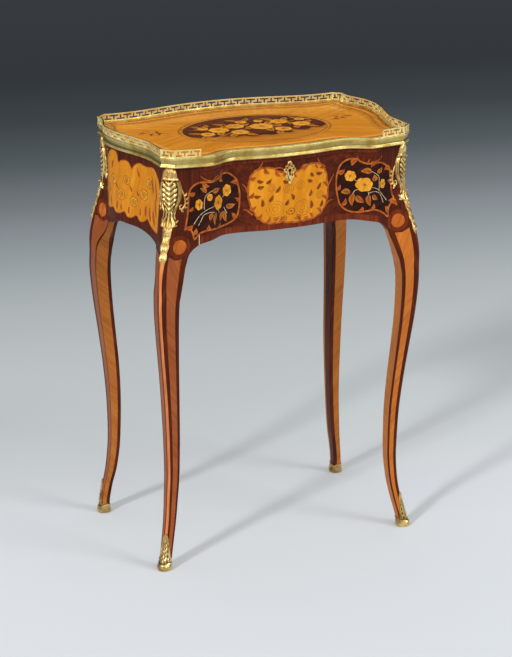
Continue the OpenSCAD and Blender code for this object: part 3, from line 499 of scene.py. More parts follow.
# Legs. u and v run outwards from the foot's centre. Rows: [height, outer arris to the side, outer arris to
# the front or back, width across the front, width from front to back], and for the bracket [height from the
# apron's lower edge, share of the way to the post's inner end]
leg = {
    "front": [[0, 4.5, 6, 16, 16], [30, -2.5, 0.5, 15.6, 15.6], [60, -8.5, -5.5, 16.2, 16],
              [90, -13, -9.3, 17.2, 17], [130, -15.8, -11, 18.8, 18.3], [170, -16.5, -8.9, 20.2, 19.5],
              [230, -14.8, -6, 22, 21], [292, -10.4, 0, 24, 22.8], [352, -4.4, 6.5, 27, 23.2],
              [411, 2, 12.4, 31, 24.2], [465, 6, 15.4, 34.4, 25.8], [500, 6, 15.7, 36.4, 27]],
    "back": [[0, 8, 4, 15, 17], [30, 5.5, 0.5, 14.2, 16.6], [60, 1.5, -2.2, 14.6, 17.8],
             [90, -3, -5.8, 16.2, 19.6], [130, -6.6, -8.5, 17.4, 21], [170, -8.2, -8.2, 18.2, 22.2],
             [230, -7.6, -4.8, 20.2, 25.4], [292, -4.4, 1.5, 22.3, 29.2], [352, 0.6, 8.8, 23.8, 31.8],
             [411, 6.1, 16.8, 25.8, 35.4], [465, 9.3, 22.2, 27.5, 38], [500, 8.6, 21.8, 28, 39]],
    "bracket": [[-100, 0], [-84, 0.06], [-66, 0.18], [-46, 0.34], [-36, 0.44], [-26, 0.53], [-19, 0.64],
                [-13, 0.8], [-7.5, 1]],
    "arris": 3, "arrisSteps": 6, "roundness": 0.55, "inside": 1.2, "floor": 5,
    # the bands' shares of a face, how much wider they grow at the knee, and the points across a face
    "outerBand": 0.27, "innerBand": 0.23, "sideBand": 0.15, "knee": 11, "backBand": 5.5, "bandSteps": 4,
    "across": 18,
    # where the panel stops under the apron's edge, the height above which the inner faces are painted dark as
    # shade under the frieze, where the post begins over that edge, and the roundel as [x, height, radius]
    "panelStop": 22, "paintedShadeTop": 569, "postStart": 24, "roundel": (206, 583.5, 22),
    # heights over the apron's edge at which the leg starts and ends to turn into the post
    "rise": {"outer": (-76, 70), "inner": (-84, -22), "side": (-92, -8), "bracket": (-90, -40)},
    # rings at the knee as [number, first and last height over the apron's edge], and their numbers elsewhere
    "kneeRings": (60, -102, 2), "lowRings": 90, "postRings": 26,
}
bracket = flowing(leg["bracket"], 8)
cornerNames = [("front_left", False, True), ("front_right", False, False), ("back_left", True, True),
               ("back_right", True, False)]


def toFoot(p, back):
    return p[0] - footX, (p[1] - footBack if back else footFront - p[1])


def legPlace(p, back, left):
    # From the foot's u, v and the height to the table's x, y, z
    x = footX + p[..., 0]
    y = footBack + p[..., 1] if back else footFront - p[..., 1]
    return np.stack([-x if left else x, y, p[..., 2]], -1)


def postFront(u, back):
    return backFace(footX + u) - footBack if back else footFront - frontFace(footX + u)


def postSide(v, back):
    return sideFace(footBack + v if back else footFront - v) - footX


def legSection(z, back):
    # Arrays over the heights z, as in the part's source: the leg's own square is blended into the carcass's
    # outline with a smooth step, sooner at the inner ends than at the corner. The arris runs from d to e.
    rows = flowing(leg["back" if back else "front"], 8)
    a, b, su, sv = (np.interp(z, rows[:, 0], rows[:, k]) for k in (1, 2, 3, 4))
    nearU, nearV = a - su, b - sv
    w, wIn, wSide, short = (smoothRise(apronZ + leg["rise"][key][0], apronZ + leg["rise"][key][1], z)
                            for key in ("outer", "inner", "side", "bracket"))
    share = np.interp(z - apronZ, bracket[:, 0], bracket[:, 1])
    opened = np.minimum(1, 5 * share) * (1 - smoothRise(apronZ - table["edgeDrop"], apronZ + 1, z))
    uPost = -table["backPost"] if back else halfOpening - footX
    uIn = nearU + (uPost - nearU) * share
    # the brackets at the sides are shorter than those at the front and the back
    vIn = np.maximum(-table["postDepth"], nearV + (-table["sideBracket"] - nearV) * (share * short))
    cant = [backRun[0], sideRun[-1]] if back else [frontRun[-1], sideRun[0]]
    (du, dv), (eu, ev) = (toFoot(p, back) for p in cant)
    s = table["veneer"]
    d = np.stack([(a - leg["arris"]) * (1 - w) + du * w, (b + s) * (1 - w) + dv * w], -1)
    e = np.stack([(a + s) * (1 - w) + eu * w, (b - leg["arris"]) * (1 - w) + ev * w], -1)
    return {"a": a, "b": b, "w": w, "wIn": wIn, "wSide": wSide, "nearU": nearU, "nearV": nearV, "uIn": uIn,
            "vIn": vIn, "d": d, "e": e, "share": share, "opened": opened, "back": back}


def legFace(sec, side, at):
    # How far out the front or back face lies at u, or with side the side face at v: the leg's plane blends
    # into the post's curve, and at the outer end it meets the arris with the fourth power of the way
    if side:
        inner, own, start, post, arris, k = sec["vIn"], sec["a"], sec["wSide"], postSide, sec["e"], 1
    else:
        inner, own, start, post, arris, k = sec["uIn"], sec["b"], sec["wIn"], postFront, sec["d"], 0
    outer = arris[..., k]
    t = np.clip((at - inner) / (outer - inner), 0, 1)
    w = start + (sec["w"] - start) * t
    level = (own + table["veneer"]) * (1 - w) + post(at, sec["back"]) * w
    end = (own + table["veneer"]) * (1 - sec["w"]) + post(outer, sec["back"]) * sec["w"]
    return level + (arris[..., 1 - k] - end) * t ** 4


def acrossFace(start, near, end, band, knee):
    # Places from the inner to the outer end of a face, with the edges of its two dark bands among them
    steps = leg["bandSteps"]
    part = np.linspace(0, 1, steps + 1)
    middle = np.linspace(0, 1, leg["across"] - 2 * steps)[1:]
    own = end - near
    inner = start + own * band + knee
    outer = end - own * leg["outerBand"]
    return np.concatenate([start + (inner - start) * part, inner + (outer - inner) * middle,
                           end - own * leg["outerBand"] * (1 - part[1:])], 1)


def legRing(z, back):
    # All rings of a leg as one array [height, point, 3], and what each strip between points is: 0 dark band,
    # 1 panel, 2 arris, 3 inner face
    sec = legSection(z[:, None], back)
    d, e = sec["d"], sec["e"]
    knee = leg["knee"] * sec["share"]
    u = acrossFace(sec["uIn"], sec["nearU"], d[..., 0], leg["innerBand"], knee)
    v = acrossFace(sec["vIn"], sec["nearV"], e[..., 1], leg["sideBand"], knee / 4)[:, ::-1]
    front = np.stack([u, legFace(sec, False, u)], -1)
    side = np.stack([legFace(sec, True, v), v], -1)
    # arris: a quarter turn between the two faces, rounder than the solid's
    t = np.linspace(0, 1, leg["arrisSteps"] + 2)[1:-1, None]
    mid = (d + e) / 2
    mid = mid + (np.stack([sec["a"], sec["b"]], -1) - mid) * (leg["roundness"] * (1 - sec["w"]))[..., None]
    arris = d * (1 - t) ** 2 + mid * (2 * t * (1 - t)) + e * t ** 2
    # inner corner, cut out where the brackets open
    s, opened = leg["inside"], sec["opened"]
    cu = sec["uIn"] + (sec["nearU"] - sec["uIn"]) * opened
    cv = sec["vIn"] + (sec["nearV"] - sec["vIn"]) * opened
    soft = s * (0.4 + 0.6 * opened)
    inside = ((cu + s, sec["vIn"]), (cu + soft, cv + soft), (sec["uIn"], cv + s))
    p2, p1, p0 = (np.stack(p, -1) for p in inside)
    # back legs have a dark band along the inner corner
    reach = np.linalg.norm(side[:, -1:] - p2, axis=-1, keepdims=True)
    back2 = p2 + (side[:, -1:] - p2) * (np.clip(leg["backBand"] / reach, 0, 0.5) if back else 0.5)
    in2 = p0 + (front[:, :1] - p0) * (0.75 if back else 0.5)
    ring = np.concatenate([front, arris, side, back2, p2, p1, p0, in2], 1)
    steps = leg["bandSteps"]
    face = [0] * steps + [1] * (leg["across"] - 1 - 2 * steps) + [0] * steps
    bands = face + [2] * (leg["arrisSteps"] + 1) + face + ([3, 0, 0, 0, 0, 3] if back else [3] * 6)
    return np.concatenate([ring, np.broadcast_to(z[:, None, None], ring.shape[:2] + (1,))], -1), bands


def makeLeg(node, back, left):
    number, first, last = leg["kneeRings"]
    z = np.concatenate([np.linspace(leg["floor"], apronZ + first - 2, leg["lowRings"]),
                        np.linspace(apronZ + first, apronZ + last, number)[:-1],
                        np.linspace(apronZ + last, friezeTop, leg["postRings"])])
    ring, bands = legRing(z, back)
    rows, columns = ring.shape[:2]
    step = np.linalg.norm(np.diff(ring[..., :2], axis=1, append=ring[:, :1, :2]), axis=-1)
    across = np.concatenate([np.zeros((rows, 1)), np.cumsum(step, 1)[:, :-1]], 1)
    height = np.repeat((z[:-1] + z[1:]) / 2, columns)
    kind = np.tile(bands, rows - 1)
    # the panels end in dark wood above the knee and round the roundel, and the posts are kingwood
    x, up, radius = leg["roundel"]
    wide = footX + (ring[1:, :, 0] + ring[:-1, :, 0]).ravel() / 2
    nearRoundel = (np.hypot(wide - x, height - up) < radius) & (not back)
    kind[(kind == 1) & ((height > apronZ - leg["panelStop"]) | nearRoundel)] = 0
    # the inner faces turn dark above this height: painted shade under the frieze
    kind[(kind == 3) & (height > leg["paintedShadeTop"])] = 0
    kind[height > apronZ + leg["postStart"]] = 4
    # copies by side: the left legs get a painted highlight on the arris and painted shade on the panels; the
    # right legs keep the plain dark red arris and panel
    panel, arris = (legPanelPaintedShade, legArrisPaintedHighlight) if left else (legPanel, legArrisRed)
    addMesh("veneered_" + node, [closedTube(legPlace(ring, back, left))],
            [legBand, panel, arris, legInner, kingwood], kinds=np.append(kind, [0, 0]),
            uv=np.stack([across, ring[..., 2]], -1).reshape(-1, 2), sharp=28, replaced=node)


for corner, back, left in cornerNames:
    makeLeg("leg_" + corner, back, left)
print("legs made")

# Frieze: polished veneer over the drawer front and the aprons
frieze = {
    "sideFront": footFront + table["postDepth"], "sideBack": footBack - table["postDepth"],
    "backHalf": halfOpening + 21, "drawerHalf": halfOpening - table["play"],
    # how far in from the posts the lower edges drop, the red band along the drawer's, and the rail's gap
    "sideReach": 64, "backReach": 60, "redBand": 11, "redLift": 0.06, "railGap": 0.05,
    # the skins bite into the wood, and the keyhole is [half its width, lower end, upper end]
    "bite": 0.2, "keyhole": (4, 682, 697),
}
skinDepth = table["veneer"] + frieze["bite"]


def lowerEdge(across, half, run):
    # Height of the apron's lower edge: it drops towards each post as (1 - t)^2
    t = np.clip((half - np.abs(across)) / run, 0, 1)
    return apronZ - table["edgeDrop"] * (1 - t) ** 2


def onFront(p, lift):
    # On the curved front: the drawer front between the posts, the legs' faces beyond them
    x, z = p[..., 0], p[..., 1]
    legs = footFront - legFace(legSection(z, False), False, np.abs(x) - footX)
    return np.stack([x, np.where(np.abs(x) < halfOpening, frontFace(x), legs) - lift, z], -1)


def onBack(p, lift):
    x, z = p[..., 0], p[..., 1]
    legs = footBack + legFace(legSection(z, True), False, np.abs(x) - footX)
    return np.stack([x, np.where(np.abs(x) < frieze["backHalf"], backFace(x), legs) + lift, z], -1)


def onSide(p, lift):
    # On the right side, p as [y, z]: the apron between the posts, the legs' side faces beyond them
    y, z = p[..., 0], p[..., 1]
    front = footX + legFace(legSection(z, False), True, footFront - y)
    back = footX + legFace(legSection(z, True), True, y - footBack)
    x = np.where(y < frieze["sideFront"], front, np.where(y > frieze["sideBack"], back, sideFace(y)))
    return np.stack([x + lift, y, z], -1)


def onTop(p, lift):
    return np.stack([p[..., 0], p[..., 1], np.full(p.shape[:-1], woodZ) + lift], -1)


def addSkin(name, place, grid, material, body="table", lift=0.0, depth=skinDepth, mask=None, mirror=False):
    # A sheet of veneer from a grid of [across, up], laid on by place, with holes where mask is false
    near, far = place(grid, lift), place(grid, -depth)
    form = closedSheet(near, far) if mask is None else maskedSheet(near, far, mask)
    addMesh(name, [form], [material], body, mirror=mirror)


def friezeGrid(start, end, low, high, rows, columns):
    # A grid of [across, up] between a lower and an upper edge, each a height or a function of the place
    a = np.linspace(start, end, columns)
    t = np.linspace(0, 1, rows)[:, None]
    low, high = (edge(a) if callable(edge) else np.full_like(a, edge) for edge in (low, high))
    return np.stack([np.broadcast_to(a, (rows, columns)), low * (1 - t) + high * t], -1)


def drawerEdge(x):
    return lowerEdge(x, halfOpening, table["edgeRun"])


def addDrawerSkin():
    # The grid has lines round the keyhole, so that its cell can be left out
    half = frieze["drawerHalf"]
    w, z0, z1 = frieze["keyhole"]
    x = np.concatenate([np.linspace(-half, -w, 76), np.linspace(w, half, 76)])
    up = np.concatenate([np.linspace(0, 1, 8) * (z0 - apronZ), [z1 - apronZ, drawerTop - apronZ]])[:, None]
    # the lower edge's drop fades out over 40 mm
    z = apronZ + up + (drawerEdge(x) - apronZ) * np.clip(1 - up / 40, 0, 1)
    mask = np.ones((len(up) - 1, len(x) - 1), bool)
    mask[len(up) - 3, len(x) // 2 - 1] = False
    grid = np.stack([np.broadcast_to(x, z.shape), z], -1)
    addSkin("veneer_drawer_front", onFront, grid, kingwoodLean, "drawer", mask=mask)
    band = friezeGrid(-half, half, drawerEdge, lambda x: drawerEdge(x) + frieze["redBand"], 4, 150)
    addSkin("veneer_drawer_edge", onFront, band, kingwoodRed, "drawer", frieze["redLift"], frieze["bite"])


def addApronSkins():
    half = halfOpening - frieze["railGap"]
    rail = friezeGrid(-half, half, drawerTop + table["play"], friezeTop, 3, 150)
    addSkin("veneer_front_rail", onFront, rail, kingwoodRed)
    start, end = frieze["sideFront"], frieze["sideBack"]
    middle = (start + end) / 2
    side = friezeGrid(start, end, lambda y: lowerEdge(y - middle, end - middle, frieze["sideReach"]),
                      friezeTop, 10, 80)
    addSkin("veneer_side_right", onSide, side, kingwood)
    addSkin("veneer_side_left", onSide, side, kingwood, mirror=True)
    half = frieze["backHalf"]
    back = friezeGrid(-half, half, lambda x: lowerEdge(x, half, frieze["backReach"]), friezeTop, 10, 150)
    addSkin("veneer_back", onBack, back, kingwoodLean)


addDrawerSkin()
addApronSkins()
print("veneers made")


# Marquetry: each motif is a grid of [across, up] points with a shade (0 light, 1 burnt) at each point
def ribbon(path, start, end=None, closed=False, shade=0.0):
    # A strip along a path, from width start to width end
    p = np.asarray(path, float)
    along = np.gradient(p, axis=0)
    if closed:
        along = np.roll(p, -1, 0) - np.roll(p, 1, 0)
        p, along = np.vstack([p, p[:1]]), np.vstack([along, along[:1]])
    n = np.stack([along[:, 1], -along[:, 0]], 1) / np.maximum(np.linalg.norm(along, axis=1), 1e-9)[:, None]
    w = np.linspace(start, start if end is None else end, len(p))[:, None, None] / 2
    s = np.array([-1, 0, 1.0])[None, :, None]
    return p[:, None] + n[:, None] * w * s, np.broadcast_to(np.reshape(shade, (-1, 1)), (len(p), 3))


def oval(center, radii, fine=8, dark=None):
    # A square grid drawn onto an ellipse. The shade falls with the distance from the point dark.
    s, t = np.meshgrid(np.linspace(-1, 1, fine), np.linspace(-1, 1, fine))
    p = np.stack([s * np.sqrt(1 - t * t / 2), t * np.sqrt(1 - s * s / 2)], -1) * radii + center
    if dark is None:
        return p, np.zeros(p.shape[:2])
    reach = np.linalg.norm(p - dark, axis=-1) / (2 * max(radii))
    return p, 0.9 * np.clip(1 - 1.2 * reach, 0, 1) ** 1.3


def bent(base, tip, bend, t):
    # Points at the shares t of the way from base to tip, on a bow as high as bend times the way
    base, tip = np.asarray(base, float), np.asarray(tip, float)
    way = tip - base
    across = np.array([way[1], -way[0]])
    return base + way * t[..., None] + across * (bend * 4 * t * (1 - t))[..., None], across


def leaf(row, bend, rows=12):
    # row: base, tip, width. Widest a third of the way up, with a notched edge, and burnt beside the midrib
    t, s = np.linspace(0, 1, rows)[:, None], np.linspace(-1, 1, 7)[None, :]
    half = row[4] / 2 * np.sin(np.pi * t ** 0.75) ** 0.85 * (1 + 0.07 * np.sin(9 * np.pi * t)) + 0.06
    p, across = bent(row[:2], row[2:4], bend, t)
    p = p + across / np.linalg.norm(across) * (half * s)[..., None]
    return p, np.where(s < 0.1, 0.85, 0.25) * (1 - np.abs(s)) * (1 - 0.4 * t)


def around(center, radii, turn, reach=1.0):
    # Points round a centre at the angles turn, as far out as reach times the radii
    c, s = np.cos(turn), np.sin(turn)
    return np.stack([center[0] + radii[0] * reach * c, center[1] + radii[1] * reach * s], 1)


def fullTurn(count):
    return np.linspace(0, 2 * math.pi, count + 1)[:-1]


def fill(outline, columns, rows=7):
    # The area within an outline that each upright line meets in one stretch
    x = np.linspace(outline[:, 0].min() + 0.05, outline[:, 0].max() - 0.05, columns)[:, None]
    p, q = outline[None], np.roll(outline, -1, 0)[None]
    crossing = (p[..., 0] - x) * (q[..., 0] - x) <= 0
    run = np.where(np.abs(q[..., 0] - p[..., 0]) < 1e-9, 1e-9, q[..., 0] - p[..., 0])
    z = p[..., 1] + (q[..., 1] - p[..., 1]) * np.clip((x - p[..., 0]) / run, 0, 1)
    low, high = np.where(crossing, z, np.inf).min(1), np.where(crossing, z, -np.inf).max(1)
    t = np.linspace(0, 1, rows)[:, None]
    return np.stack([np.broadcast_to(x[:, 0], (rows, columns)), low * (1 - t) + high * t], -1), 0.0


class Marquetry:
    # Gathers the motifs of one face of the table, laid on by place, into one piece
    def __init__(self, place):
        self.place, self.forms, self.woods, self.kinds, self.shades = place, [], [], [], []

    def add(self, wood, motif, lift):
        grid, shade = motif
        verts, blocks = closedSheet(self.place(grid, lift), self.place(grid, -layers["bite"]))
        if wood not in self.woods:
            self.woods.append(wood)
        self.forms.append((verts, blocks))
        self.kinds.append(np.full(len(blocks[0]), self.woods.index(wood)))
        self.shades.append(np.tile(np.broadcast_to(shade, grid.shape[:2]).ravel(), 2))

    def finish(self, name, body="table", mirror=False, ends=()):
        obj = addMesh(name, self.forms, self.woods, body, np.concatenate(self.kinds), mirror=mirror,
                      attributes={"shade": np.concatenate(self.shades)})
        for x, side in ends:
            cutOff(obj, x, side)


def cutOff(obj, x, side):
    # Takes away what lies beyond x towards side, and closes the cut
    bm = bmesh.new()
    bm.from_mesh(obj.data)
    parts = bm.verts[:] + bm.edges[:] + bm.faces[:]
    bmesh.ops.bisect_plane(bm, geom=parts, plane_co=(x * mm, 0, 0), plane_no=(side, 0, 0), clear_outer=True)
    bmesh.ops.holes_fill(bm, edges=[e for e in bm.edges if e.is_boundary], sides=0)
    bm.to_mesh(obj.data)
    bm.free()


# Motifs as [across, up]: flowers with their two radii, leaves with base, tip and width, rings and
# scrolls with their radius
leftPanel = {
    "outline": [(-195, 611), (-192, 624), (-189, 641), (-188, 658), (-187, 672), (-183, 682), (-174, 689),
                (-164, 691), (-152, 690), (-141, 690), (-131, 693), (-122, 698), (-112, 698), (-103, 693),
                (-95, 685), (-91, 672), (-89, 660), (-89, 646), (-91, 630), (-95, 619), (-103, 613),
                (-115, 609), (-133, 607), (-151, 608), (-162, 606), (-171, 602), (-178, 594), (-181, 604),
                (-186, 614), (-191, 615)],
    "flowers": [(-132, 651, 9, 12), (-113, 668, 8, 10), (-170, 653, 6, 9), (-151, 664, 5, 6)],
    "leaves": [(-157, 673, -168, 681, 7), (-146, 674, -128, 675, 9), (-115, 641, -97, 642, 9),
               (-145, 636, -151, 624, 8), (-137, 635, -140, 614, 7), (-119, 633, -128, 617, 8),
               (-117, 633, -114, 614, 8)],
    "stems": [[(-179, 620), (-169, 634), (-156, 643), (-143, 647)], [(-171, 617), (-166, 627), (-161, 635),
              (-150, 638), (-140, 636)], [(-161, 644), (-161, 656), (-159, 666), (-154, 671), (-145, 675)],
              [(-119, 640), (-115, 633), (-112, 628)], [(-132, 640), (-130, 632)], [(-122, 658),
              (-115, 662)]],
    "border": [(-186, 672, -176, 674, 7), (-187, 643, -180, 650, 5), (-91, 676, -106, 680, 7),
               (-90, 644, -98, 653, 5), (-99, 616, -104, 628, 6), (-157, 607, -153, 617, 6),
               (-133, 607, -127, 615, 5), (-164, 691, -151, 683, 7), (-128, 694, -121, 685, 6),
               (-193, 614, -180, 619, 8), (-181, 602, -175, 613, 7)],
    "spurs": [[(-167, 702), (-162, 697), (-154, 693), (-146, 691)], [(-131, 698), (-137, 696), (-144, 691)],
              [(-122, 706), (-126, 699), (-124, 692)]],
}
rightPanel = {
    "outline": [(204, 611), (198, 623), (193, 636), (192, 651), (190, 667), (187, 678), (179, 686),
                (168, 691), (157, 691), (148, 691), (140, 692), (133, 695), (127, 699), (118, 699),
                (109, 696), (101, 690), (96, 680), (93, 667), (93, 651), (96, 634), (100, 621), (108, 612),
                (119, 606), (132, 605), (143, 607), (155, 609), (166, 606), (177, 600), (186, 593),
                (186, 605), (191, 615), (197, 618)],
    "flowers": [(140, 654, 13, 12), (118, 669, 9, 9), (174, 653, 5, 8)],
    "leaves": [(152, 677, 134, 677, 10), (163, 673, 172, 682, 8), (119, 640, 102, 641, 10),
               (124, 638, 122, 616, 9), (128, 634, 140, 622, 10), (147, 636, 150, 616, 9),
               (154, 635, 164, 626, 8), (157, 659, 157, 671, 10)],
    "stems": [[(183, 622), (171, 637), (163, 645), (152, 649)], [(176, 619), (172, 630), (166, 638),
              (156, 641), (147, 639)], [(167, 641), (167, 656), (165, 668), (152, 677)], [(122, 636),
              (126, 643), (132, 646)], [(124, 663), (131, 658)], [(147, 634), (146, 641)]],
    "border": [(190, 678, 177, 677, 8), (192, 650, 184, 657, 6), (95, 677, 109, 681, 8),
               (93, 646, 101, 655, 6), (104, 617, 111, 630, 7), (152, 609, 157, 620, 6),
               (132, 605, 138, 615, 6), (128, 698, 121, 687, 8), (160, 691, 150, 684, 6),
               (203, 613, 186, 621, 9), (184, 600, 180, 612, 7)],
    "spurs": [[(128, 705), (131, 698), (138, 692), (147, 691)], [(171, 703), (168, 697), (159, 694),
              (150, 693)], [(147, 699), (145, 694)]],
}
centrePanel = {
    "outline": [(-73, 678), (-68, 690), (-61, 697), (-52, 700), (-42, 701), (-31, 699), (-22, 693),
                (-15, 691), (-8, 688), (-3.6, 681), (3.6, 681), (8, 687), (14, 690), (21, 692), (29, 696),
                (41, 700), (53, 699), (64, 694), (71, 682), (74, 668), (76, 650), (74, 632), (69, 619),
                (60, 609), (46, 604), (30, 602), (14, 601), (-1, 602), (-16, 604), (-30, 603), (-43, 605),
                (-54, 612), (-63, 623), (-70, 637), (-74, 653), (-74, 666)],
    "darkLeaves": [(-59, 679, -47, 677), (-43, 673, -33, 681), (-58, 667, -46, 669), (-26, 656, -17, 668),
                   (-64, 652, -52, 652), (-50, 633, -50, 647), (-38, 641, -30, 653), (34, 672, 45, 669),
                   (51, 682, 65, 681), (40, 684, 47, 677), (53, 653, 61, 665), (38, 643, 42, 655),
                   (42, 621, 41, 636), (60, 621, 65, 633), (-12, 676, -2, 671), (8, 640, 3, 652),
                   (-8, 632, -2, 642)],
    "darkWidth": 6.5,
    "rings": [(-26, 627, 15), (25, 625, 14), (-2, 662, 9), (20, 665, 8), (60, 643, 7), (-34, 665, 7)],
    "scrolls": [(3, 622, 9), (-10, 611, 6), (16, 610, 6), (-25, 609, 5), (32, 604, 5)],
    "spurs": [[(-85, 676), (-79, 670), (-75, 660)], [(-83, 631), (-76, 629), (-66, 620)], [(-49, 712),
              (-52, 705), (-58, 698)], [(88, 676), (83, 668), (77, 658)], [(86, 630), (78, 629), (68, 618)],
              [(54, 708), (57, 702), (61, 695)], [(-10, 695), (-18, 699), (-28, 698)], [(20, 695),
              (28, 700), (36, 698)]],
    "border": [(-72, 684, -60, 686, 8), (-74, 650, -64, 660, 7), (-72, 630, -60, 636, 7),
               (-60, 613, -50, 622, 7), (-42, 605, -36, 616, 7), (70, 688, 58, 690, 8),
               (75, 655, 64, 664, 7), (74, 632, 62, 640, 7), (62, 611, 52, 620, 7), (44, 604, 38, 614, 7),
               (-46, 700, -36, 690, 8), (-26, 695, -16, 684, 7), (34, 698, 26, 688, 8),
               (50, 700, 56, 690, 6), (8, 687, 14, 680, 6), (-6, 689, -12, 682, 6), (-20, 604, -14, 613, 6),
               (20, 602, 14, 611, 6)],
}
sidePanel = {
    "outline": [(41, 711), (20, 711), (13, 695), (5, 699), (-7, 702), (-18, 700), (-26, 690), (-31, 697),
                (-45, 704), (-66, 702), (-89, 704), (-106, 694), (-116, 679), (-114, 657), (-110, 623),
                (-106, 598), (-95, 595), (-79, 600), (-67, 611), (-58, 606), (-46, 603), (-36, 611),
                (-24, 605), (-12, 604), (-3, 611), (10, 606), (24, 604), (34, 611), (52, 606), (76, 604),
                (90, 609), (94, 630), (91, 653), (78, 675), (66, 690), (54, 703)],
    "flowers": [(5, 640, 10, 9), (-30, 634, 9, 8), (-58, 652, 10, 9), (-74, 674, 8, 7), (30, 662, 9, 8),
                (-12, 668, 8, 7), (52, 642, 8, 7)],
    "leaves": [(-90, 604, -86, 636, 8), (-76, 608, -74, 636, 6), (-62, 614, -64, 636, 6),
               (-46, 612, -48, 626, 5), (20, 610, 16, 628, 6), (40, 612, 44, 632, 6), (62, 612, 60, 634, 7),
               (80, 616, 74, 640, 7), (-98, 620, -96, 660, 7), (-104, 650, -98, 690, 6),
               (-88, 660, -84, 690, 7), (-16, 610, -18, 624, 5), (6, 612, 6, 624, 5), (66, 654, 60, 676, 6),
               (38, 678, 30, 696, 6), (-46, 680, -40, 696, 6), (-26, 650, -20, 662, 5),
               (16, 648, 22, 658, 5), (-44, 646, -38, 656, 5)],
}


# How far each layer stands over the veneer, and how deep all of them bite into it
layers = {
    "ground": 0.1, "rings": 0.16, "frame": 0.17, "spurs": 0.19, "border": 0.2, "scrolls": 0.2, "stems": 0.22,
    "leaves": 0.25, "flowers": 0.3, "sideFrame": 0.16, "sideLeaves": 0.17, "sideFlowers": 0.16,
    "sideRings": 0.42, "roundel": 0.3, "roundelDisc": 0.42, "bite": 0.12,
    "topGround": 0.18, "topScrolls": 0.2, "topBank": 0.21, "topScrollLeaves": 0.22, "topStems": 0.24,
    "topLeaves": 0.27, "topFlowers": 0.34,
}
# How the panels are framed: the frame's width, its shade and how far and often that swings, the spurs' width
# and shade, and whether the border's leaves have a midrib
darkFrame = {"width": 2.9, "shade": 0.2, "swing": 0.2, "waves": 40, "spur": 2.6, "spurShade": 0.2,
             "ribs": False}
goldenFrame = {"width": 3.2, "shade": 0.35, "swing": 0.3, "waves": 64, "spur": 3.0, "spurShade": 0.25,
               "ribs": True}
# Flowers: their two rows of petals as [distance out, size, petals more than the flower's number], the steps
# from petal to petal and from row to row, the eye's size and height, and the rings round a side flower
flower = {"rows": [(0.55, 0.52, 1), (0.26, 0.36, -1)], "petalStep": 0.012, "rowStep": 0.1, "eye": 0.13,
          "eyeLift": 0.24, "sideRings": (1.05, 0.55)}
# A golden panel's rings: [share of the radius, lobes, how deep they are]
ringRows = [(1, 7, 0.1), (0.66, 5, 0.14), (0.32, 4, 0.12)]


def addFlower(panel, row, lift, number=5):
    # Two rows of overlapping petals, burnt towards the heart, around a small dark eye
    heart, radii = np.array(row[:2]), np.array(row[2:])
    for level, (reach, size, more) in enumerate(flower["rows"]):
        for k in range(number + more):
            turn = 2 * math.pi * (k + 0.5 * level) / (number + more) + 0.3 * row[0]
            at = heart + np.array([math.cos(turn), math.sin(turn)]) * radii * reach
            up = lift + flower["petalStep"] * k + flower["rowStep"] * level
            panel.add(inlayYellow, oval(at, radii * size, 7, heart), up)
    panel.add(inlayBrown, oval(heart, radii * flower["eye"], 5), lift + flower["eyeLift"])


def addLeaf(panel, wood, row, lift, bend=0.1, ribbed=True):
    # A leaf, with a thin dark midrib on it
    panel.add(wood, leaf(row, bend), lift)
    if ribbed:
        rib, _ = bent(row[:2], row[2:4], bend, np.linspace(0.08, 0.85, 6))
        panel.add(inlayBrown, ribbon(rib, 0.5, 0.25, shade=0.4), lift + 0.05)


def addFramed(panel, data, ground, frame):
    # The ground, the frame along its outline, and the leaves and spurs that grow from it
    outline = loop(data["outline"], 5)
    panel.add(ground, fill(outline, 70), layers["ground"])
    waves = np.sin(np.linspace(0, frame["waves"] * math.pi, len(outline) + 1))
    shade = frame["shade"] + frame["swing"] * waves
    panel.add(inlayOrange, ribbon(outline, frame["width"], closed=True, shade=shade), layers["frame"])
    for row in data["border"]:
        addLeaf(panel, inlayOrange, row, layers["border"], 0.2, frame["ribs"])
    for spur in data["spurs"]:
        strip = ribbon(flowing(spur, 5), 0.8, frame["spur"], shade=frame["spurShade"])
        panel.add(inlayOrange, strip, layers["spurs"])


def addDarkPanel(panel, data):
    addFramed(panel, data, purplewood, darkFrame)
    for stem in data["stems"]:
        panel.add(inlayPale, ribbon(flowing(stem, 6), 1.1, 0.8), layers["stems"])
    for row in data["leaves"]:
        addLeaf(panel, inlayLeaf, row, layers["leaves"])
    for row in data["flowers"]:
        addFlower(panel, row, layers["flowers"])


def addGoldenPanel(panel, data, rings):
    addFramed(panel, data, satinwoodUp, goldenFrame)
    for x, z, r in rings:
        for share, lobes, deep in ringRows:
            turn = fullTurn(59)
            reach = r * share * (1 + deep * np.abs(np.sin(lobes * turn / 2)))
            ring = around((x, z), (1, 0.9), turn, reach)
            panel.add(inlayBrown, ribbon(ring, 0.55, closed=True), layers["rings"])
    for x, z, r in data["scrolls"]:
        turn = np.linspace(0, 3.4 * math.pi, 40)
        path = around((x, z), (r, 0.8 * r), turn + x, 1 - turn / turn[-1] * 0.85)
        panel.add(inlayBrown, ribbon(path, 1.6, 0.6, shade=0.2), layers["scrolls"])
        panel.add(inlayBrown, oval((x, z), (1.6, 1.4), 5), layers["scrolls"] + 0.02)
    for row in data["darkLeaves"]:
        addLeaf(panel, inlayBrown, (*row, data["darkWidth"]), layers["border"])


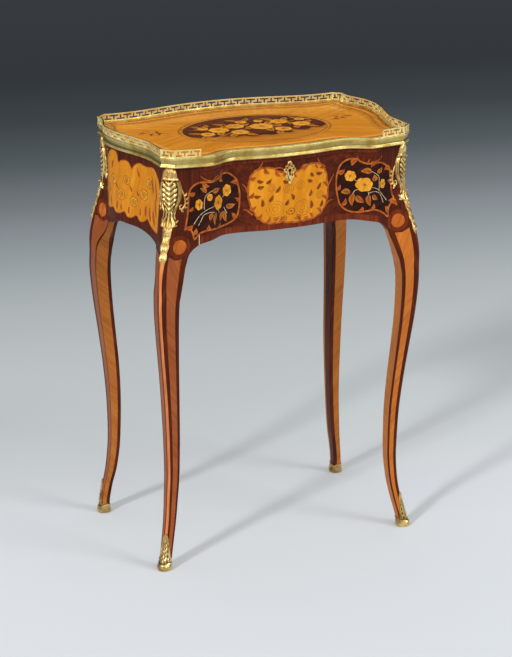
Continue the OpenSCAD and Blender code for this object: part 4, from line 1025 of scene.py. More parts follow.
def addSidePanel(panel, data):
    # Flowers with wavy rings between upright leaves, in a thin frame
    outline = loop(data["outline"], 5)
    panel.add(satinwoodUp, fill(outline, 90), layers["ground"])
    panel.add(inlayOrange, ribbon(outline, 1.6, closed=True, shade=0.1), layers["sideFrame"])
    for row in data["leaves"]:
        addLeaf(panel, inlayOrange, row, layers["sideLeaves"], 0.06)
    for row in data["flowers"]:
        addFlower(panel, row, layers["sideFlowers"])
        for share in flower["sideRings"]:
            turn = fullTurn(49)
            ring = around(row[:2], row[2:], turn, share * (1 + 0.08 * np.sin(6 * turn)))
            panel.add(inlayBrown, ribbon(ring, 0.7, closed=True, shade=0.2), layers["sideRings"])


# Roundels at the knees: radii of the ring and the disc, height, and their places on the front, side and back
roundel = {"ring": 20, "disc": 12.4, "height": 583.5, "front": 205.5, "side": 118, "back": 212}


def addRoundel(panel, x):
    at = (x, roundel["height"])
    panel.add(kingwoodRed, oval(at, (roundel["ring"],) * 2, 14), layers["roundel"])
    panel.add(roundelWood, oval(at, (roundel["disc"],) * 2, 12), layers["roundelDisc"])


def makeFrontMarquetry():
    # The dark panels run from the drawer on to the posts, so each part is cut off at the joint
    centre, drawer = Marquetry(onFront), Marquetry(onFront)
    addGoldenPanel(centre, centrePanel, centrePanel["rings"])
    centre.finish("marquetry_centre", "drawer")
    addDarkPanel(drawer, leftPanel)
    addDarkPanel(drawer, rightPanel)
    drawer.finish("marquetry_drawer", "drawer", ends=[(frieze["drawerHalf"], 1), (-frieze["drawerHalf"], -1)])
    for side, name, data in ((1, "right", rightPanel), (-1, "left", leftPanel)):
        post = Marquetry(onFront)
        addDarkPanel(post, data)
        post.finish("marquetry_post_" + name, ends=[(side * halfOpening, -side)])
    rounds = Marquetry(onFront)
    for side in (1, -1):
        addRoundel(rounds, side * roundel["front"])
    # a pale strip on the left post beside the drawer, where the drawer's edge shows lighter: painted
    # highlight
    rounds.add(inlayPale, ribbon([(-halfOpening - 0.9, z) for z in (584, 592, 601)], 1.5), 0.12)
    rounds.finish("marquetry_roundels")


def makeSideAndBackMarquetry():
    side, back = Marquetry(onSide), Marquetry(onBack)
    addSidePanel(side, sidePanel)
    addRoundel(side, roundel["side"])
    side.finish("marquetry_side_right")
    side.finish("marquetry_side_left", mirror=True)
    addGoldenPanel(back, centrePanel, centrePanel["rings"][:5])
    for x in (roundel["back"], -roundel["back"]):
        addRoundel(back, x)
    back.finish("marquetry_back")


makeFrontMarquetry()
makeSideAndBackMarquetry()
print("marquetry made")

# Brass edge: its moulding and the rounded lip above it as [distance in, height over the underside]
brass = {
    "moulding": [[1.2, 0], [0.3, 0.7], [0, 1.8], [0.3, 2.9], [1.3, 3.5], [1.9, 4.2], [2.5, 6], [2.8, 8.4],
                 [2.5, 10.9], [1.7, 13.4], [1.2, 14.2]],
    "lip": [[0.5, 14.6], [0.05, 15.2], [0, 16.4], [0.2, 17.5], [0.8, 18]],
    # a groove in the upper side as [distance in, depth], and how bright the hollow and the upper side are;
    # the hollow's darkening is a painted dark reflection
    "groove": [[4.4, 0], [4.8, 0.25], [5.2, 0]], "hollowDepth": 2.6, "hollowShine": 0.2, "topShine": 0.7,
}
# Gallery: its place and thickness, the strips below and above the key pattern, and the pattern's measures
gallery = {
    "in": 0.8, "thick": 2, "foot": 1.5, "rail": 2.5, "flange": 0.5, "rounded": 0.45, "lap": 0.05,
    "pitch": 12.75, "stem": 3, "endPost": 1.6, "returnLength": 45,
}
# A stretch is [first point, last point] on the rim, in its own order
stretches = {}
for k, (run, corner) in enumerate([("front", "front_right"), ("right", "back_right"), ("back", "back_left"),
                                   ("left", "front_left")]):
    stretches[run] = (rimStarts[k], rimStarts[k + 1] - 1)
    stretches["corner_" + corner] = (rimStarts[k + 1] - 1, rimStarts[k + 1])


def rimAt(index, d):
    # The rim moved d inwards, at points that may lie between two of its own
    line = insetRim(d)
    line = np.vstack([line, line[:1]])
    return np.stack([np.interp(index, np.arange(len(line)), line[:, k]) for k in (0, 1)], -1)


def wallAt(index, d, z):
    return np.concatenate([rimAt(index, d), np.full((len(index), 1), z)], 1)


def edgeProfile():
    # From the grip under the table round to the rebate that holds the wood
    grip, wide, rebate = table["edgeGrip"], table["edgeWidth"], woodZ - table["rebate"]
    rounded = [flowing(np.array(brass[key]) + [0, friezeTop], 4) for key in ("moulding", "lip")]
    groove = [[d, galleryZ - deep] for d, deep in brass["groove"]]
    inner = [[wide, galleryZ], [wide, rebate], [grip, rebate]]
    return np.vstack([[[grip, friezeTop]], *rounded, groove, inner])


def sweepRim(profile, index):
    # The profile carried along the rim, closed at both ends
    return closedTube(np.stack([wallAt(index, d, z) for d, z in profile], 1))


def makeEdges():
    profile = edgeProfile()
    for name, (a, b) in stretches.items():
        index = np.linspace(a, b, max(2, min(b - a, 160) + 1))
        # the moulding's hollow is darkened as a painted dark reflection; the lips and the upper side keep the
        # bright brass
        paintedShine = np.clip(1 - profile[:, 0] / brass["hollowDepth"], brass["hollowShine"], 1)
        paintedShine = np.where(profile[:, 0] < 3.5, paintedShine, brass["topShine"])
        addMesh("moulded_edge_" + name, [sweepRim(profile, index)], [giltEdge], sharp=38,
                attributes={"relief": np.tile(paintedShine, len(index))}, replaced="edge_" + name)


def piercedWall(a, b):
    # The strip between foot and rail. Its T-shaped holes, every other one upside down, are cells left out.
    index = np.linspace(a, b, int(max(2, 4 * (b - a))) + 1)
    middle = rimAt(index, gallery["in"] + gallery["thick"] / 2)
    length = np.concatenate([[0], np.cumsum(np.linalg.norm(np.diff(middle, axis=0), axis=1))])
    count = max(1, round(length[-1] / gallery["pitch"]))
    width = length[-1] / count
    line = (table["galleryHeight"] - gallery["foot"] - gallery["rail"]) / 3
    stem, short = gallery["stem"] / 2, width / 2 - gallery["endPost"]
    arm = width - stem - line
    holes = []
    for j in range(count):
        c = width * (j + 0.5)
        first, second, last = (0, 1, 2) if j % 2 == 0 else (2, 1, 0)
        holes += [(first, c - stem, c + stem), (second, c - stem, c + stem),
                  (last, c - (short if j == 0 else arm), c + (short if j == count - 1 else arm))]
    cuts = np.unique(np.round([0, length[-1]] + [v for hole in holes for v in hole[1:]], 4))
    foot = galleryZ + gallery["foot"]
    heights = [galleryZ, foot, foot + line, foot + 2 * line, foot + 3 * line, table["height"]]
    mask = np.ones((len(heights) - 1, len(cuts) - 1), bool)
    for row, x0, x1 in holes:
        mask[row + 1] &= (cuts[:-1] < x0 - 0.01) | (cuts[1:] > x1 + 0.01)
    at = np.interp(cuts, length, index)
    near, far = (np.stack([wallAt(at, gallery["in"] + d, z) for z in heights]) for d in (0, gallery["thick"]))
    return maskedSheet(near, far, mask)


def stripProfile(z0, z1):
    # A small bar with rounded corners
    d0 = gallery["in"] - gallery["flange"]
    d1 = gallery["in"] + gallery["thick"] + gallery["flange"]
    r = gallery["rounded"]
    return [[d1 - r, z0], [d0 + r, z0], [d0, z0 + r], [d0, z1 - r], [d0 + r, z1], [d1 - r, z1], [d1, z1 - r],
            [d1, z0 + r]]


def makeGalleries():
    foot = stripProfile(galleryZ + 0.02, galleryZ + gallery["foot"] + gallery["lap"])
    rail = stripProfile(table["height"] - gallery["rail"] - gallery["lap"], table["height"])
    # the front corner lengths turn on to the front, where they end as short returns
    end = rimStarts[1] - 1
    start = np.interp(rim[end, 0] - gallery["returnLength"], rim[:rimStarts[1], 0], np.arange(rimStarts[1]))
    frontCorner = [(start, end), (end, end + 1)]
    lengths = {"back": [stretches["back"]], "left": [stretches["left"]], "right": [stretches["right"]],
               "rear_corner_left": [stretches["corner_back_left"]],
               "rear_corner_right": [stretches["corner_back_right"]],
               "front_corner_right": frontCorner, "front_corner_left": frontCorner}
    for name, runs in lengths.items():
        a, b = runs[0][0], runs[-1][1]
        index = np.linspace(a, b, int(max(2, min(b - a, 160))) + 1)
        index = np.unique(np.concatenate([index, [run[1] for run in runs]]))
        forms = [piercedWall(*run) for run in runs] + [sweepRim(foot, index), sweepRim(rail, index)]
        addMesh("pierced_gallery_" + name, forms, [giltGallery], sharp=35,
                mirror=name == "front_corner_left", replaced="gallery_" + name)


makeEdges()
makeGalleries()
print("brass edge and gallery made")


# Top: quartered satinwood in a crossband, with an oval of flowers on a dark ground
top = {"margin": 9.08, "crossband": 13, "line": 1.4, "oval": (139, 104), "ovalLine": 1.6, "ground": (131, 96),
       "center": (2, -5), "bite": 0.15}


def ringSheet(outer, inner, rows, lift, hub=False):
    # A flat ring between two closed curves
    t = np.linspace(0, 1, rows)[:, None, None]
    flat = inner[None] * (1 - t) + outer[None] * t
    return closedRing(onTop(flat, lift), onTop(flat, -top["bite"]), hub)


def insetStar(d, count=1080):
    # The inset rim seen from the middle: along each direction the nearest crossing, so that loops drop out
    line = insetRim(d)
    p, q = line[None], np.roll(line, -1, 0)[None]
    turn = fullTurn(count)[:, None]
    c, s = np.cos(turn), np.sin(turn)
    # a point of the edge lies on the ray where its cross product with the ray's direction is zero
    a = p[..., 0] * s - p[..., 1] * c
    b = q[..., 0] * s - q[..., 1] * c
    share = a / np.where(np.abs(a - b) < 1e-12, 1, a - b)
    at = p + (q - p) * share[..., None]
    reach = at[..., 0] * c + at[..., 1] * s
    near = np.where((a * b <= 0) & (np.abs(a - b) > 1e-12) & (reach > 0), reach, np.inf).min(1)[:, None]
    return np.concatenate([near * c, near * s], 1)


def makeTopField():
    inner = top["margin"] + top["crossband"]
    first, second, field = insetStar(top["margin"]), insetStar(inner), insetStar(inner + top["line"])
    wide, deep = top["oval"]
    ovals = [around(top["center"], radii, fullTurn(180)) for radii in
             (top["oval"], (wide - top["ovalLine"], deep - top["ovalLine"]), top["ground"])]
    # [outer curve, inner curve, rows, lift, filled] and the wood of each ring
    rings = [(first, second, 2, 0.1, False, satinCross), (second, field, 2, 0.12, False, inlayBrown),
             (field, field * 0.002, 12, 0.1, True, satinwood),
             (ovals[0], ovals[1], 2, 0.16, False, inlayBrown),
             (ovals[1], ovals[2], 2, 0.15, False, satinDeep)]
    for k, (*ring, wood) in enumerate(rings):
        addMesh("top_field_%d" % k, [ringSheet(*ring)], [wood], sharp=None)


makeTopField()

# Flowers [across, deep, radius] and leaves [base, tip, width] of the oval
topSpray = {
    "flowers": [(-62, 6, 17), (-24, 22, 15), (18, 4, 20), (62, 26, 15), (92, -4, 15), (-92, -16, 12),
                (46, -28, 14), (-34, -22, 15), (104, 30, 9), (-2, 48, 10), (-84, 26, 9), (30, 44, 8)],
    "leaves": [(-50, 14, -40, 40, 14), (-76, 12, -104, 24, 13), (-60, -8, -74, -34, 14),
               (-36, 30, -56, 52, 12), (-12, 26, 6, 32, 12), (-38, 16, -48, 4, 10), (34, 14, 42, 36, 14),
               (2, 12, -10, -8, 13), (28, -12, 22, -38, 14), (38, -2, 58, 6, 13), (70, 34, 86, 52, 12),
               (54, 34, 40, 62, 12), (76, 14, 78, 0, 10), (100, 6, 120, 16, 12), (98, -14, 112, -34, 13),
               (82, -14, 70, -34, 12), (-100, -12, -122, 2, 11), (-96, -26, -110, -48, 12),
               (-44, -30, -60, -54, 13), (-24, -32, -14, -56, 13), (54, -36, 70, -54, 13),
               (38, -38, 26, -62, 13), (-8, 56, -24, 70, 9), (6, 56, 20, 72, 10), (-88, 34, -98, 48, 9),
               (-78, 34, -68, 52, 10), (98, 38, 92, 54, 8), (112, 30, 124, 24, 8)],
    "stems": [[(-110, -58), (-70, -34), (-30, -8), (18, 4), (62, 14), (104, 30)], [(-92, -16), (-76, -6),
              (-62, 6)], [(-24, 22), (-14, 36), (-2, 48)], [(18, 4), (34, -12), (46, -28)], [(62, 26),
              (80, 10), (92, -4)], [(-62, 6), (-76, 14), (-84, 26)], [(18, 4), (26, 24), (30, 44)]],
    "bank": [(-126, -24), (-112, -34), (-98, -30), (-86, -42), (-70, -40), (-56, -52), (-40, -48),
             (-24, -60), (-6, -54), (12, -62), (30, -52), (46, -58), (64, -44), (82, -48), (98, -36),
             (112, -40), (128, -28)],
}

# Light scrolls at the ends of the top: [side, start], the path from it outwards, and leaves as base and tip
topScrolls = {
    "starts": [(-1, -150, 20), (1, 152, 6)], "path": [(0, -8), (14, 6), (30, 8), (40, 20), (34, 30),
               (26, 24)],
    "leaves": [(12, 6, 20, -8), (26, 8, 34, -6), (36, 14, 52, 12), (20, 8, 16, 24)],
}


def makeTopMarquetry():
    panel = Marquetry(onTop)
    panel.add(ovalGround, oval(top["center"], top["ground"], 34), layers["topGround"])
    # a golden bank of leaves along the front of the oval
    turn = np.linspace(1.06 * math.pi, 1.94 * math.pi, 40)
    rimLine = around(top["center"], np.array(top["ground"]) - 0.5, turn)
    bank = flowing(topSpray["bank"], 5)
    low = np.interp(bank[:, 0], rimLine[:, 0], rimLine[:, 1])
    t = np.linspace(0, 1, 5)[:, None]
    grid = np.stack([np.broadcast_to(bank[:, 0], (5, len(bank))), low * (1 - t) + bank[:, 1] * t], -1)
    panel.add(satinDeep, (grid, 0.55 * t ** 3), layers["topBank"])
    for stem in topSpray["stems"]:
        panel.add(inlayYellow, ribbon(flowing(stem, 8), 1.8, 1.2, shade=0.2), layers["topStems"])
    for row in topSpray["leaves"]:
        addLeaf(panel, satinDeep, row, layers["topLeaves"])
    for x, y, r in topSpray["flowers"]:
        addFlower(panel, (x, y, r, r), layers["topFlowers"], 6)
    for side, x0, y0 in topScrolls["starts"]:
        path = np.array(topScrolls["path"]) * [side, 1] + [x0, y0]
        panel.add(inlayBrown, ribbon(flowing(path, 8), 1.2, 1.8), layers["topScrolls"])
        for row in topScrolls["leaves"]:
            ends = np.array(row) * [side, 1, side, 1] + [x0, y0, x0, y0]
            panel.add(inlayBrown, leaf((*ends, 6), 0.15), layers["topScrollLeaves"])
    panel.finish("marquetry_top")


makeTopMarquetry()
print("top made")

# Cast corner mounts. A point of a corner is [height, distance round the corner from its middle], front side
# negative. shape: [share of the length, half width, thickness]
mount = {
    "top": friezeTop - 1.5, "length": 163, "thick": 8, "seat": 0.2, "rows": 210, "columns": 61, "evened": 2,
    "shape": [[0, 7, 0.35], [0.03, 11, 0.5], [0.08, 13, 0.7], [0.15, 18, 0.9], [0.22, 21, 1],
              [0.3, 20, 0.95], [0.37, 16, 0.8], [0.43, 12, 0.7], [0.49, 10, 0.6], [0.54, 13, 0.7],
              [0.58, 14, 0.65], [0.62, 8, 0.5], [0.68, 7.5, 0.6], [0.74, 5.5, 0.45], [0.8, 7, 0.55],
              [0.86, 5, 0.4], [0.92, 6, 0.45], [0.97, 3.5, 0.3], [1, 1.5, 0.15]],
    # where the parts of the casting lie down its length
    "cap": (0, 0.1), "bead": 0.113, "groove": 0.135, "body": (0.125, 0.46), "neck": (0.46, 0.53),
    "leaf": (0.525, 0.605), "rosette": 0.648, "husks": [0.735, 0.815, 0.895], "chevron": 8.6, "carving": 1.2,
    # scrolls beside the body as [down, round], and leaflets as [down, round, down, round, width]
    "scroll": [(34, 19), (40, 22), (48, 24.5), (57, 26), (64, 25), (69, 21.5), (69, 18), (65, 17),
               (62.5, 19), (64, 21)],
    "scrollRadius": 1.7,
    "leaflets": [(48, 24.5, 42, 29, 4.5), (54, 26, 50, 32, 4.5), (60, 26, 59, 33, 4.5),
                 (65, 24, 68, 31, 4.5), (69, 21, 76, 25, 4.5), (92, 9, 88, 17, 5), (94, 8, 97, 17, 5.5)],
    "pins": [(24, 9), (84, 6), (24, -9)],
}


def cornerPoint(z, s, back):
    # Along the front face, the arris or cant, and the side face of a leg, as u, v
    shape = np.broadcast(z, s).shape
    z, s = (np.broadcast_to(m, shape).ravel().astype(float) for m in (z, s))
    sec = legSection(z, back)
    d, e = sec["d"], sec["e"]
    half = np.linalg.norm(e - d, axis=1) / 2
    over = np.maximum(np.abs(s) - half, 0)
    chord = (d + e) / 2 + (e - d) / (2 * half[:, None]) * s[:, None]
    u, v = d[:, 0] - over, e[:, 1] - over
    front = np.stack([u, legFace(sec, False, u)], 1)
    side = np.stack([legFace(sec, True, v), v], 1)
    p = np.where((np.abs(s) < half)[:, None], chord, np.where((s < 0)[:, None], front, side))
    return p.reshape(shape + (2,))


def onCorner(z, s, lift, back, left):
    # The point raised by lift along the outward normal, which is evened out to each side
    way = cornerPoint(z, s + mount["evened"], back) - cornerPoint(z, s - mount["evened"], back)
    n = np.stack([-way[..., 1], way[..., 0]], -1)
    n /= np.linalg.norm(n, axis=-1, keepdims=True)
    p = cornerPoint(z, s, back) + n * np.asarray(lift)[..., None]
    height = np.broadcast_to(z, p.shape[:-1])
    return legPlace(np.concatenate([p, height[..., None]], -1), back, left)


def window(ends, m, soft=0.012):
    # 1 between the ends and 0 beyond them, with soft steps
    a, b = ends
    return smoothRise(a - soft, a + soft, m) * (1 - smoothRise(b - soft, b + soft, m))


def ridge(x, width):
    # A rounded ridge, exp of minus the square of x over the width
    return np.exp(-(x / width) ** 2)


def mountRelief(m, q, thick):
    # The cast form at the share m of the length and q of the half width: cap, chevrons between ribbed flanks,
    # fluted neck, leaf, rosette and three husks. Returns the height and the part of it that is fine carving.
    dome = thick * mount["thick"] * 0.6 * np.clip(1 - q * q, 0, 1) ** 0.42
    a = np.abs(q)
    # body: chevrons run down to a middle rib, a groove parts them from the flanks' ribs
    body = window(mount["body"], m)
    inner = 1 - smoothRise(0.55, 0.63, a)
    down = m * mount["length"] - 11 * (1 - a / 0.6)
    fine = body * inner * (0.7 * np.cos(2 * math.pi * down / mount["chevron"]) + 0.9 * ridge(q, 0.06))
    fine = fine - 1.5 * body * ridge(a - 0.6, 0.045)
    fine = fine + 0.55 * body * (1 - inner) * np.cos(2 * math.pi * a * 8)
    # cap with a bead and a groove under it, and the neck's flutes
    swell = np.sin(math.pi * np.clip(m / mount["cap"][1], 0, 1))
    fine = fine + window(mount["cap"], m) * (0.9 * np.cos(10 * q) + 1.4 * swell)
    fine = fine + 1.3 * ridge(m - mount["bead"], 0.011) - 0.9 * ridge(m - mount["groove"], 0.007)
    fine = fine + 0.7 * window(mount["neck"], m) * np.cos(13 * q)
    # leaf, whose tip turns out
    up = np.clip((m - mount["leaf"][0]) / (mount["leaf"][1] - mount["leaf"][0]), 0, 1)
    veins = 0.9 * np.cos(9 * q * (1.3 - 0.4 * up))
    fine = fine + window(mount["leaf"], m) * (veins + 2.6 * up ** 2 - 0.7 * (a > 0.92))
    # rosette of five turned petals round a button
    x, y = (m - mount["rosette"]) * mount["length"] / 8.2, q
    r = np.hypot(x, y)
    petals = 0.8 * r * np.cos(5 * np.arctan2(y, x) + 2.5 * r)
    fine = fine + (r < 1.05) * (2.4 * np.sqrt(np.clip(1 - r * r / 1.1, 0, 1)) + petals + 1.1 * ridge(r, 0.25))
    for c in mount["husks"]:
        t = np.clip((m - c + 0.035) / 0.078, 0, 1)
        husk = 1.7 * np.sin(math.pi * t) ** 0.7 + 0.5 * np.cos(3 * math.pi * q) * t + 0.9 * t ** 3
        fine = fine + window((c - 0.035, c + 0.043), m, 0.006) * husk
    return np.maximum(dome + mount["carving"] * fine, 0.35), fine


def raisedSheet(grid, lift, back, left, depth=0.0):
    # A relief from a grid of [height, distance round] with its lifts, closed down to the wood
    return closedSheet(onCorner(grid[..., 0], grid[..., 1], mount["seat"] + lift, back, left),
                       onCorner(grid[..., 0], grid[..., 1], np.full(lift.shape, depth), back, left))


def tubeOnCorner(path, radius, back, left, count=10):
    # A round bead laid along a path, thinner towards its ends
    t = np.linspace(0, 1, len(path))
    r = (radius * (0.45 + 0.55 * np.sin(math.pi * np.clip(t * 1.15, 0, 1)) ** 0.6))[:, None]
    way = np.gradient(path, axis=0)
    way /= np.linalg.norm(way, axis=1, keepdims=True)
    turn = fullTurn(count)
    z = path[:, :1] - way[:, 1:] * (r * np.cos(turn))
    s = path[:, 1:] + way[:, :1] * (r * np.cos(turn))
    return closedTube(onCorner(z, s, r * (0.7 + np.sin(turn)), back, left))


def pinHead(center, radius, base, dome):
    # A small disc and how high each point of it stands
    disc, _ = oval(center, (radius, radius), 6)
    reach = np.linalg.norm(disc - center, axis=-1) / radius
    return disc, base + dome * np.sqrt(np.clip(1 - reach ** 2, 0, 1))


def addCast(node, name, forms, reliefs, material, body="table"):
    # reliefs: for each form a value at every point, or one for them all; dirt lies where it is low
    values = [np.broadcast_to(relief, len(verts)) for relief, (verts, _) in zip(reliefs, forms)]
    addMesh(name, forms, [material], body, attributes={"relief": np.concatenate(values)}, sharp=50,
            replaced=node)


def makeCornerMount(node, back, left):
    m = np.linspace(0, 1, mount["rows"])[:, None]
    q = np.sin(np.linspace(-1, 1, mount["columns"]) * math.pi / 2)[None, :]
    shape = flowing(mount["shape"], 6)
    width, thick = (np.interp(m, shape[:, 0], shape[:, k]) for k in (1, 2))
    high, fine = mountRelief(m, q, thick)
    grid = np.stack(np.broadcast_arrays(mount["top"] - m * mount["length"], q * width), -1)
    forms = [raisedSheet(grid, high, back, left)]
    reliefs = [np.tile(np.clip(0.42 + 0.5 * fine / 0.8, 0, 1).ravel(), 2)]
    t, s = np.linspace(0, 1, 9)[:, None], np.linspace(-1, 1, 7)[None]
    leafLift = 0.5 + 1.9 * (1 - s * s) * np.sin(math.pi * (0.15 + 0.85 * t)) + 0.5 * ridge(s, 0.2)
    leafRelief = np.tile(np.broadcast_to(0.35 + 0.5 * (1 - np.abs(s)), leafLift.shape).ravel(), 2)
    for side in (-1, 1):
        path = flowing(mount["scroll"], 6) * [-1, side] + [mount["top"], 0]
        forms.append(tubeOnCorner(path, mount["scrollRadius"], back, left))
        reliefs.append(0.8)
        for d0, s0, d1, s1, wide in mount["leaflets"]:
            flat, _ = leaf((mount["top"] - d0, side * s0, mount["top"] - d1, side * s1, wide), 0.15, 9)
            forms.append(raisedSheet(flat, leafLift, back, left))
            reliefs.append(leafRelief)
    for down, s0 in mount["pins"]:
        forms.append(raisedSheet(*pinHead((mount["top"] - down, s0), 1.1, 6.6, 0.7), back, left, 3.0))
        reliefs.append(0.9)
    addCast(node, "cast_" + node, forms, reliefs, giltCast)


# Shoes: a cup around the foot whose leaf runs up the outer arris
shoe = {
    "height": 64, "rows": 46, "columns": 96, "wall": 2.1, "leaf": 9.5, "low": 0.235, "foot": 1.15,
    # the leaf's outline, the notches of the rim, and how the rim folds in against the wood
    "leafPower": 2.6, "notch": 1.8, "notchWave": 0.42, "tuck": 0.25, "tuckRows": 4,
}


def shoeGrid(back):
    # The leg's outline at heights within the shoe, in even columns, and each column's way from the arris
    levels = np.linspace(leg["floor"], shoe["height"] + 4, 40)
    ring = legRing(levels, back)[0][..., :2]
    ring = np.concatenate([ring, ring[:, :1]], 1)
    length = np.concatenate([[0], np.cumsum(np.linalg.norm(np.diff(ring[0], axis=0), axis=1))])
    at = np.linspace(0, length[-1], shoe["columns"] + 1)[:-1]
    place = np.interp(at, length, np.arange(len(length)))
    k = np.minimum(place.astype(int), len(length) - 2)
    f = (place - k)[None, :, None]
    ring = ring[:, k] * (1 - f) + ring[:, k + 1] * f
    arris = length[leg["across"] + leg["arrisSteps"] // 2]
    return levels, ring, np.abs((at - arris + length[-1] / 2) % length[-1] - length[-1] / 2)


def shoeCarving(z, t, away):
    # Veins and scrolls beside a midrib, a groove above the smooth toe, a rolled rim and a raised loop
    wave = 0.55 * np.cos(2 * math.pi * away / 4.4 + 0.5 * np.sin(z / 5))
    veins = wave * smoothRise(11, 17, z) * (1 - 0.4 * t)
    midrib = 0.8 * ridge(away, 1.3) * smoothRise(12, 20, z)
    scrolls = 0.5 * np.sin(z * 0.75 + 2.2 * np.cos(away * 0.55)) * smoothRise(11, 18, z) * (1 - t ** 3)
    groove, roll = 0.8 * ridge(z - 12 - 0.25 * away, 1.1), 0.6 * ridge(t - 0.95, 0.05)
    toeLoop = 0.6 * ridge(np.hypot(away / 5.5, (z - 6.4) / 4.2) - 1, 0.26)
    return veins + midrib + scrolls - groove + roll + toeLoop


def makeShoe(node, back, left):
    levels, ring, away = shoeGrid(back)
    rim = shoe["low"] + (1 - shoe["low"]) * np.exp(-(away / shoe["leaf"]) ** shoe["leafPower"])
    rim = shoe["height"] * rim + shoe["notch"] * np.abs(np.sin(away * shoe["notchWave"])) * (away > 5)
    t = np.linspace(0, 1, shoe["rows"])[:, None]
    z = t ** shoe["foot"] * rim[None]
    sample = np.clip(z, leg["floor"], None)
    flat = np.stack([np.stack([np.interp(sample[:, j], levels, ring[:, j, k]) for j in range(len(away))], 1)
                     for k in (0, 1)], -1)
    center = np.stack([np.interp(sample, levels, ring[..., k].mean(1)) for k in (0, 1)], -1)
    n = flat - center
    reach = np.linalg.norm(n, axis=-1)
    n = n / reach[..., None]
    # the wall is thicker low down and at the toe, and the toe is rounder than the foot within it
    swell = shoe["wall"] + 1.1 * ridge(z - 5, 4) - 1.2 * ridge(z, 1.6) - t
    swell = swell + 1.2 * ridge(away, 9) * ridge(z - 8, 6)
    reach = reach + swell
    swell = swell + (reach.max(1, keepdims=True) * 0.95 - reach) * 0.75 * ridge(z, 11)
    fine = shoeCarving(z, t, away)
    outer = flat + n * (swell + fine)[..., None]
    # the rim is folded in: every third row from the top down once more, a little within the wood
    tucked = slice(None, 3 * shoe["tuckRows"], 3)
    inner = (flat - n * shoe["tuck"])[::-1][tucked]
    heights = np.concatenate([z, z[::-1][tucked]])
    grid = np.concatenate([np.concatenate([outer, inner]), heights[..., None]], -1)
    plain = np.zeros((shoe["tuckRows"], len(away)))
    relief = np.concatenate([np.clip(0.44 + fine / 1.2, 0, 1), plain]).ravel()
    addCast(node, "cast_" + node, [closedTube(legPlace(grid, back, left))], [relief], giltShoe)


# Keyhole plate: the right half of its outline around the keyhole's centre, the hole as [radius, half its
# slot's width, slot's depth], and pins with their places round the centre
plate = {
    "center": (0, 692.8), "thick": 1.1, "hole": (2.7, 1.3, 9), "depth": 0.3,
    "half": [[0, 17], [2.2, 16.6], [3.4, 15.2], [4.4, 13], [4.6, 10.9], [6.5, 9.8], [8.8, 7.6], [8.7, 5],
             [10.6, 3.6], [12, 1], [11.2, -1.8], [8.6, -3.6], [7.2, -6.4], [8.6, -9.4], [8.2, -12.6],
             [5.6, -14.8], [4.3, -17.6], [3.5, -20], [2.4, -23], [0, -25]],
    "pins": [(0, 14.4), (0, -22.2), (9.4, 1), (-9.4, 1)],
}


def makePlate():
    # Rings from the keyhole's outline to the plate's, with a raised lip at each and foliage between
    half = np.array(plate["half"])
    line = loop(np.vstack([half[:0:-1], half[0:1], (half * [-1, 1])[1:-1]]), 6)
    turn = np.arctan2(line[:, 1], line[:, 0])
    r, w, low = plate["hole"]
    c, s = np.cos(turn), np.sin(turn)
    slot = np.minimum(low / np.maximum(-s, 1e-6), w / np.maximum(np.abs(c), 1e-6))
    hole = np.where(s < 0, np.maximum(r, slot), r)
    inner = np.stack([c * hole, s * hole], 1)
    t = np.linspace(0, 1, 22)[:, None]
    grid = inner[None] * (1 - t[..., None]) + line[None] * t[..., None] + plate["center"]
    fine = (0.75 * ridge(t - 0.16, 0.1) + 0.8 * ridge(t - 0.84, 0.09) - 0.35 * ridge(t - 0.5, 0.14) +
            0.28 * np.cos(9 * turn) * ridge(t - 0.55, 0.2) - 0.9 * smoothRise(0.93, 1, t))
    forms = [closedRing(onFront(grid, plate["thick"] + fine), onFront(grid, -plate["depth"]))]
    reliefs = [np.tile(np.clip(0.5 + fine, 0, 1).ravel(), 2)]
    for x, z in plate["pins"]:
        disc, lift = pinHead((x, z + plate["center"][1]), 0.9, 1.7, 0.6)
        forms.append(closedSheet(onFront(disc, lift), onFront(disc, 0.2)))
        reliefs.append(0.9)
    addCast("escutcheon", "cast_keyhole_plate", forms, reliefs, giltCast, "drawer")


for corner, back, left in cornerNames:
    makeCornerMount("corner_mount_" + corner, back, left)
    makeShoe("sabot_" + corner, back, left)
makePlate()
print("mounts made")


# Woods and metals of the solids that stay
def dress(name, outside, inside=None, isInside=None):
    # isInside(centres, normals) picks the faces that get the second material
    mesh = nodes[name].data
    mesh.materials.clear()
    mesh.materials.append(outside)
    count = len(mesh.polygons)
    index = np.zeros(count, np.int32)
    if inside:
        mesh.materials.append(inside)
        centers, normals = np.empty(count * 3), np.empty(count * 3)
        mesh.polygons.foreach_get("center", centers)
        mesh.polygons.foreach_get("normal", normals)
        index = isInside(centers.reshape(-1, 3), normals.reshape(-1, 3)).astype(np.int32)
    mesh.polygons.foreach_set("material_index", index)


def towardsMiddle(centers, normals):
    return (normals[:, :2] * centers[:, :2]).sum(1) < -0.3 * np.linalg.norm(centers[:, :2], axis=1)


dress("drawer_front", kingwood, oakAcross, lambda c, n: (n[:, 1] > 0.3) | (c[:, 1] > frontY * mm + 0.035))
dress("side_apron_left", kingwood, oakUpright, towardsMiddle)
dress("side_apron_right", kingwood, oakUpright, towardsMiddle)
dress("back_apron", kingwood, oakAcross, towardsMiddle)
dress("front_rail", kingwood, oakAcross, lambda c, n: np.abs(n[:, 2]) > 0.5)
dress("top_panel", satinCross, oakAcross, lambda c, n: n[:, 2] < -0.5)
plainFinishes = {
    "writing_slide": satinFlat, "slide_leather": leather, "top_screws": steel, "lock_bolt": steel,
    "strike_plate": lockBrass, "lock_case": lockBrass,
    **dict.fromkeys(("bearer_left", "bearer_right", "kicker_left", "kicker_right", "drawer_side_left",
                     "drawer_side_right"), oakUpright),
    **dict.fromkeys(("drawer_stops", "glue_blocks", "drawer_back", "drawer_bottom"), oakAcross),
}
for name, material in plainFinishes.items():
    dress(name, material)
print("solids dressed")
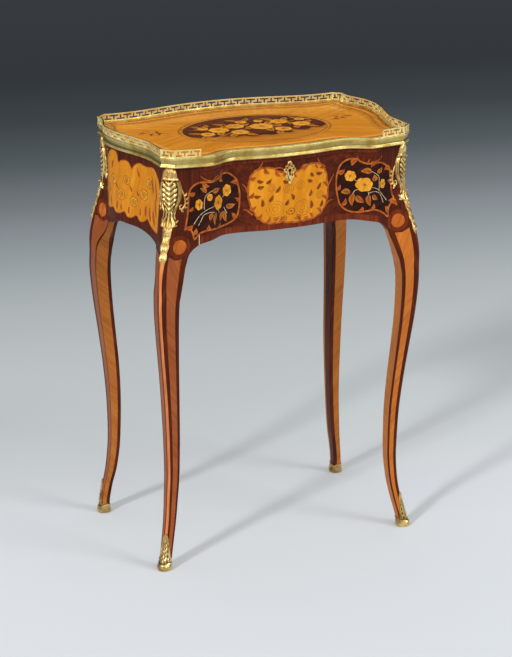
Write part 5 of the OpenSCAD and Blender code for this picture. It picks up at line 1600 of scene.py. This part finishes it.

# Studio: a pale floor whose colour darkens away from the camera as a painted shade for the light's falloff,
# and soft light from the left and the front
studio = {
    # the floor's half width, the direction in which its painted shade darkens it, and where that starts and
    # how long it runs
    "floorHalf": 14, "floorAway": (0.167, 0.986, 0), "floorStart": -0.7, "floorLength": 7.0,
    # [distance beyond the table in metres, colour]
    "floorColors": [(-0.6, "d9dee1"), (-0.1, "d8dde0"), (0.1, "d3d8db"), (0.33, "c8cdce"), (0.63, "bec4c4"),
                    (0.95, "b6bcbc"), (1.32, "a9afaf"), (1.76, "8f9699"), (2.26, "6e7377"),
                    (2.73, "4d5558"), (3.28, "363c40"), (3.93, "2a2f33"), (5.5, "2d3236")],
    # [name, direction towards the light, strength, apparent size in degrees]
    "suns": [("key", (-0.87, -0.49, 0.5), 1.7, 7), ("fill", (0.65, -0.76, 0.6), 0.9, 22),
             ("front", (0, -0.95, 0.5), 0.45, 60)],
    # [height, brightness]
    "sky": [(0.0, 0.02), (0.3, 0.03), (0.45, 0.4), (0.75, 0.8), (1.0, 0.9)],
}


def makeFloor():
    s = studio["floorHalf"]
    mesh = bpy.data.meshes.new("floor")
    mesh.from_pydata([(-s, -s, 0), (s, -s, 0), (s, s, 0), (-s, s, 0)], [], [(0, 1, 2, 3)])
    material, n = newMaterial("floorPaper")
    at = n.add("ShaderNodeTexCoord").outputs["Object"]
    away = n.calcVector("DOT_PRODUCT", at, studio["floorAway"]).outputs["Value"]
    start, run = studio["floorStart"], studio["floorLength"]
    share = n.calc("MULTIPLY", n.calc("SUBTRACT", away, start), 1 / run)
    stops = [((t - start) / run, color) for t, color in studio["floorColors"]]
    # the ramp darkens the floor away from the camera: painted shade standing in for the light's falloff
    n.finish(n.ramp(share, stops), 0.9, Specular_IOR_Level=0.1)
    mesh.materials.append(material)
    addObject("floor", mesh)


def makeLight():
    for name, toLight, strength, angle in studio["suns"]:
        data = bpy.data.lights.new(name, "SUN")
        data.energy = strength
        data.angle = math.radians(angle)
        addObject(name, data).rotation_euler = Vector(toLight).to_track_quat("Z", "Y").to_euler()
    world = bpy.data.worlds.new("studio")
    bpy.context.scene.world = world
    world.use_nodes = True
    n = Nodes(world.node_tree)
    way = n.add("ShaderNodeSeparateXYZ", Vector=n.add("ShaderNodeTexCoord").outputs["Generated"])
    # a little bluer than grey
    sky = n.ramp(way.outputs["Z"], [(z, (v, v, v * 1.03)) for z, v in studio["sky"]])
    background = n.add("ShaderNodeBackground", Color=sky, Strength=1.0)
    n.add("ShaderNodeOutputWorld", Surface=background.outputs[0])
    bpy.context.scene.view_settings.view_transform = "Standard"


makeFloor()
makeLight()
print("studio made")
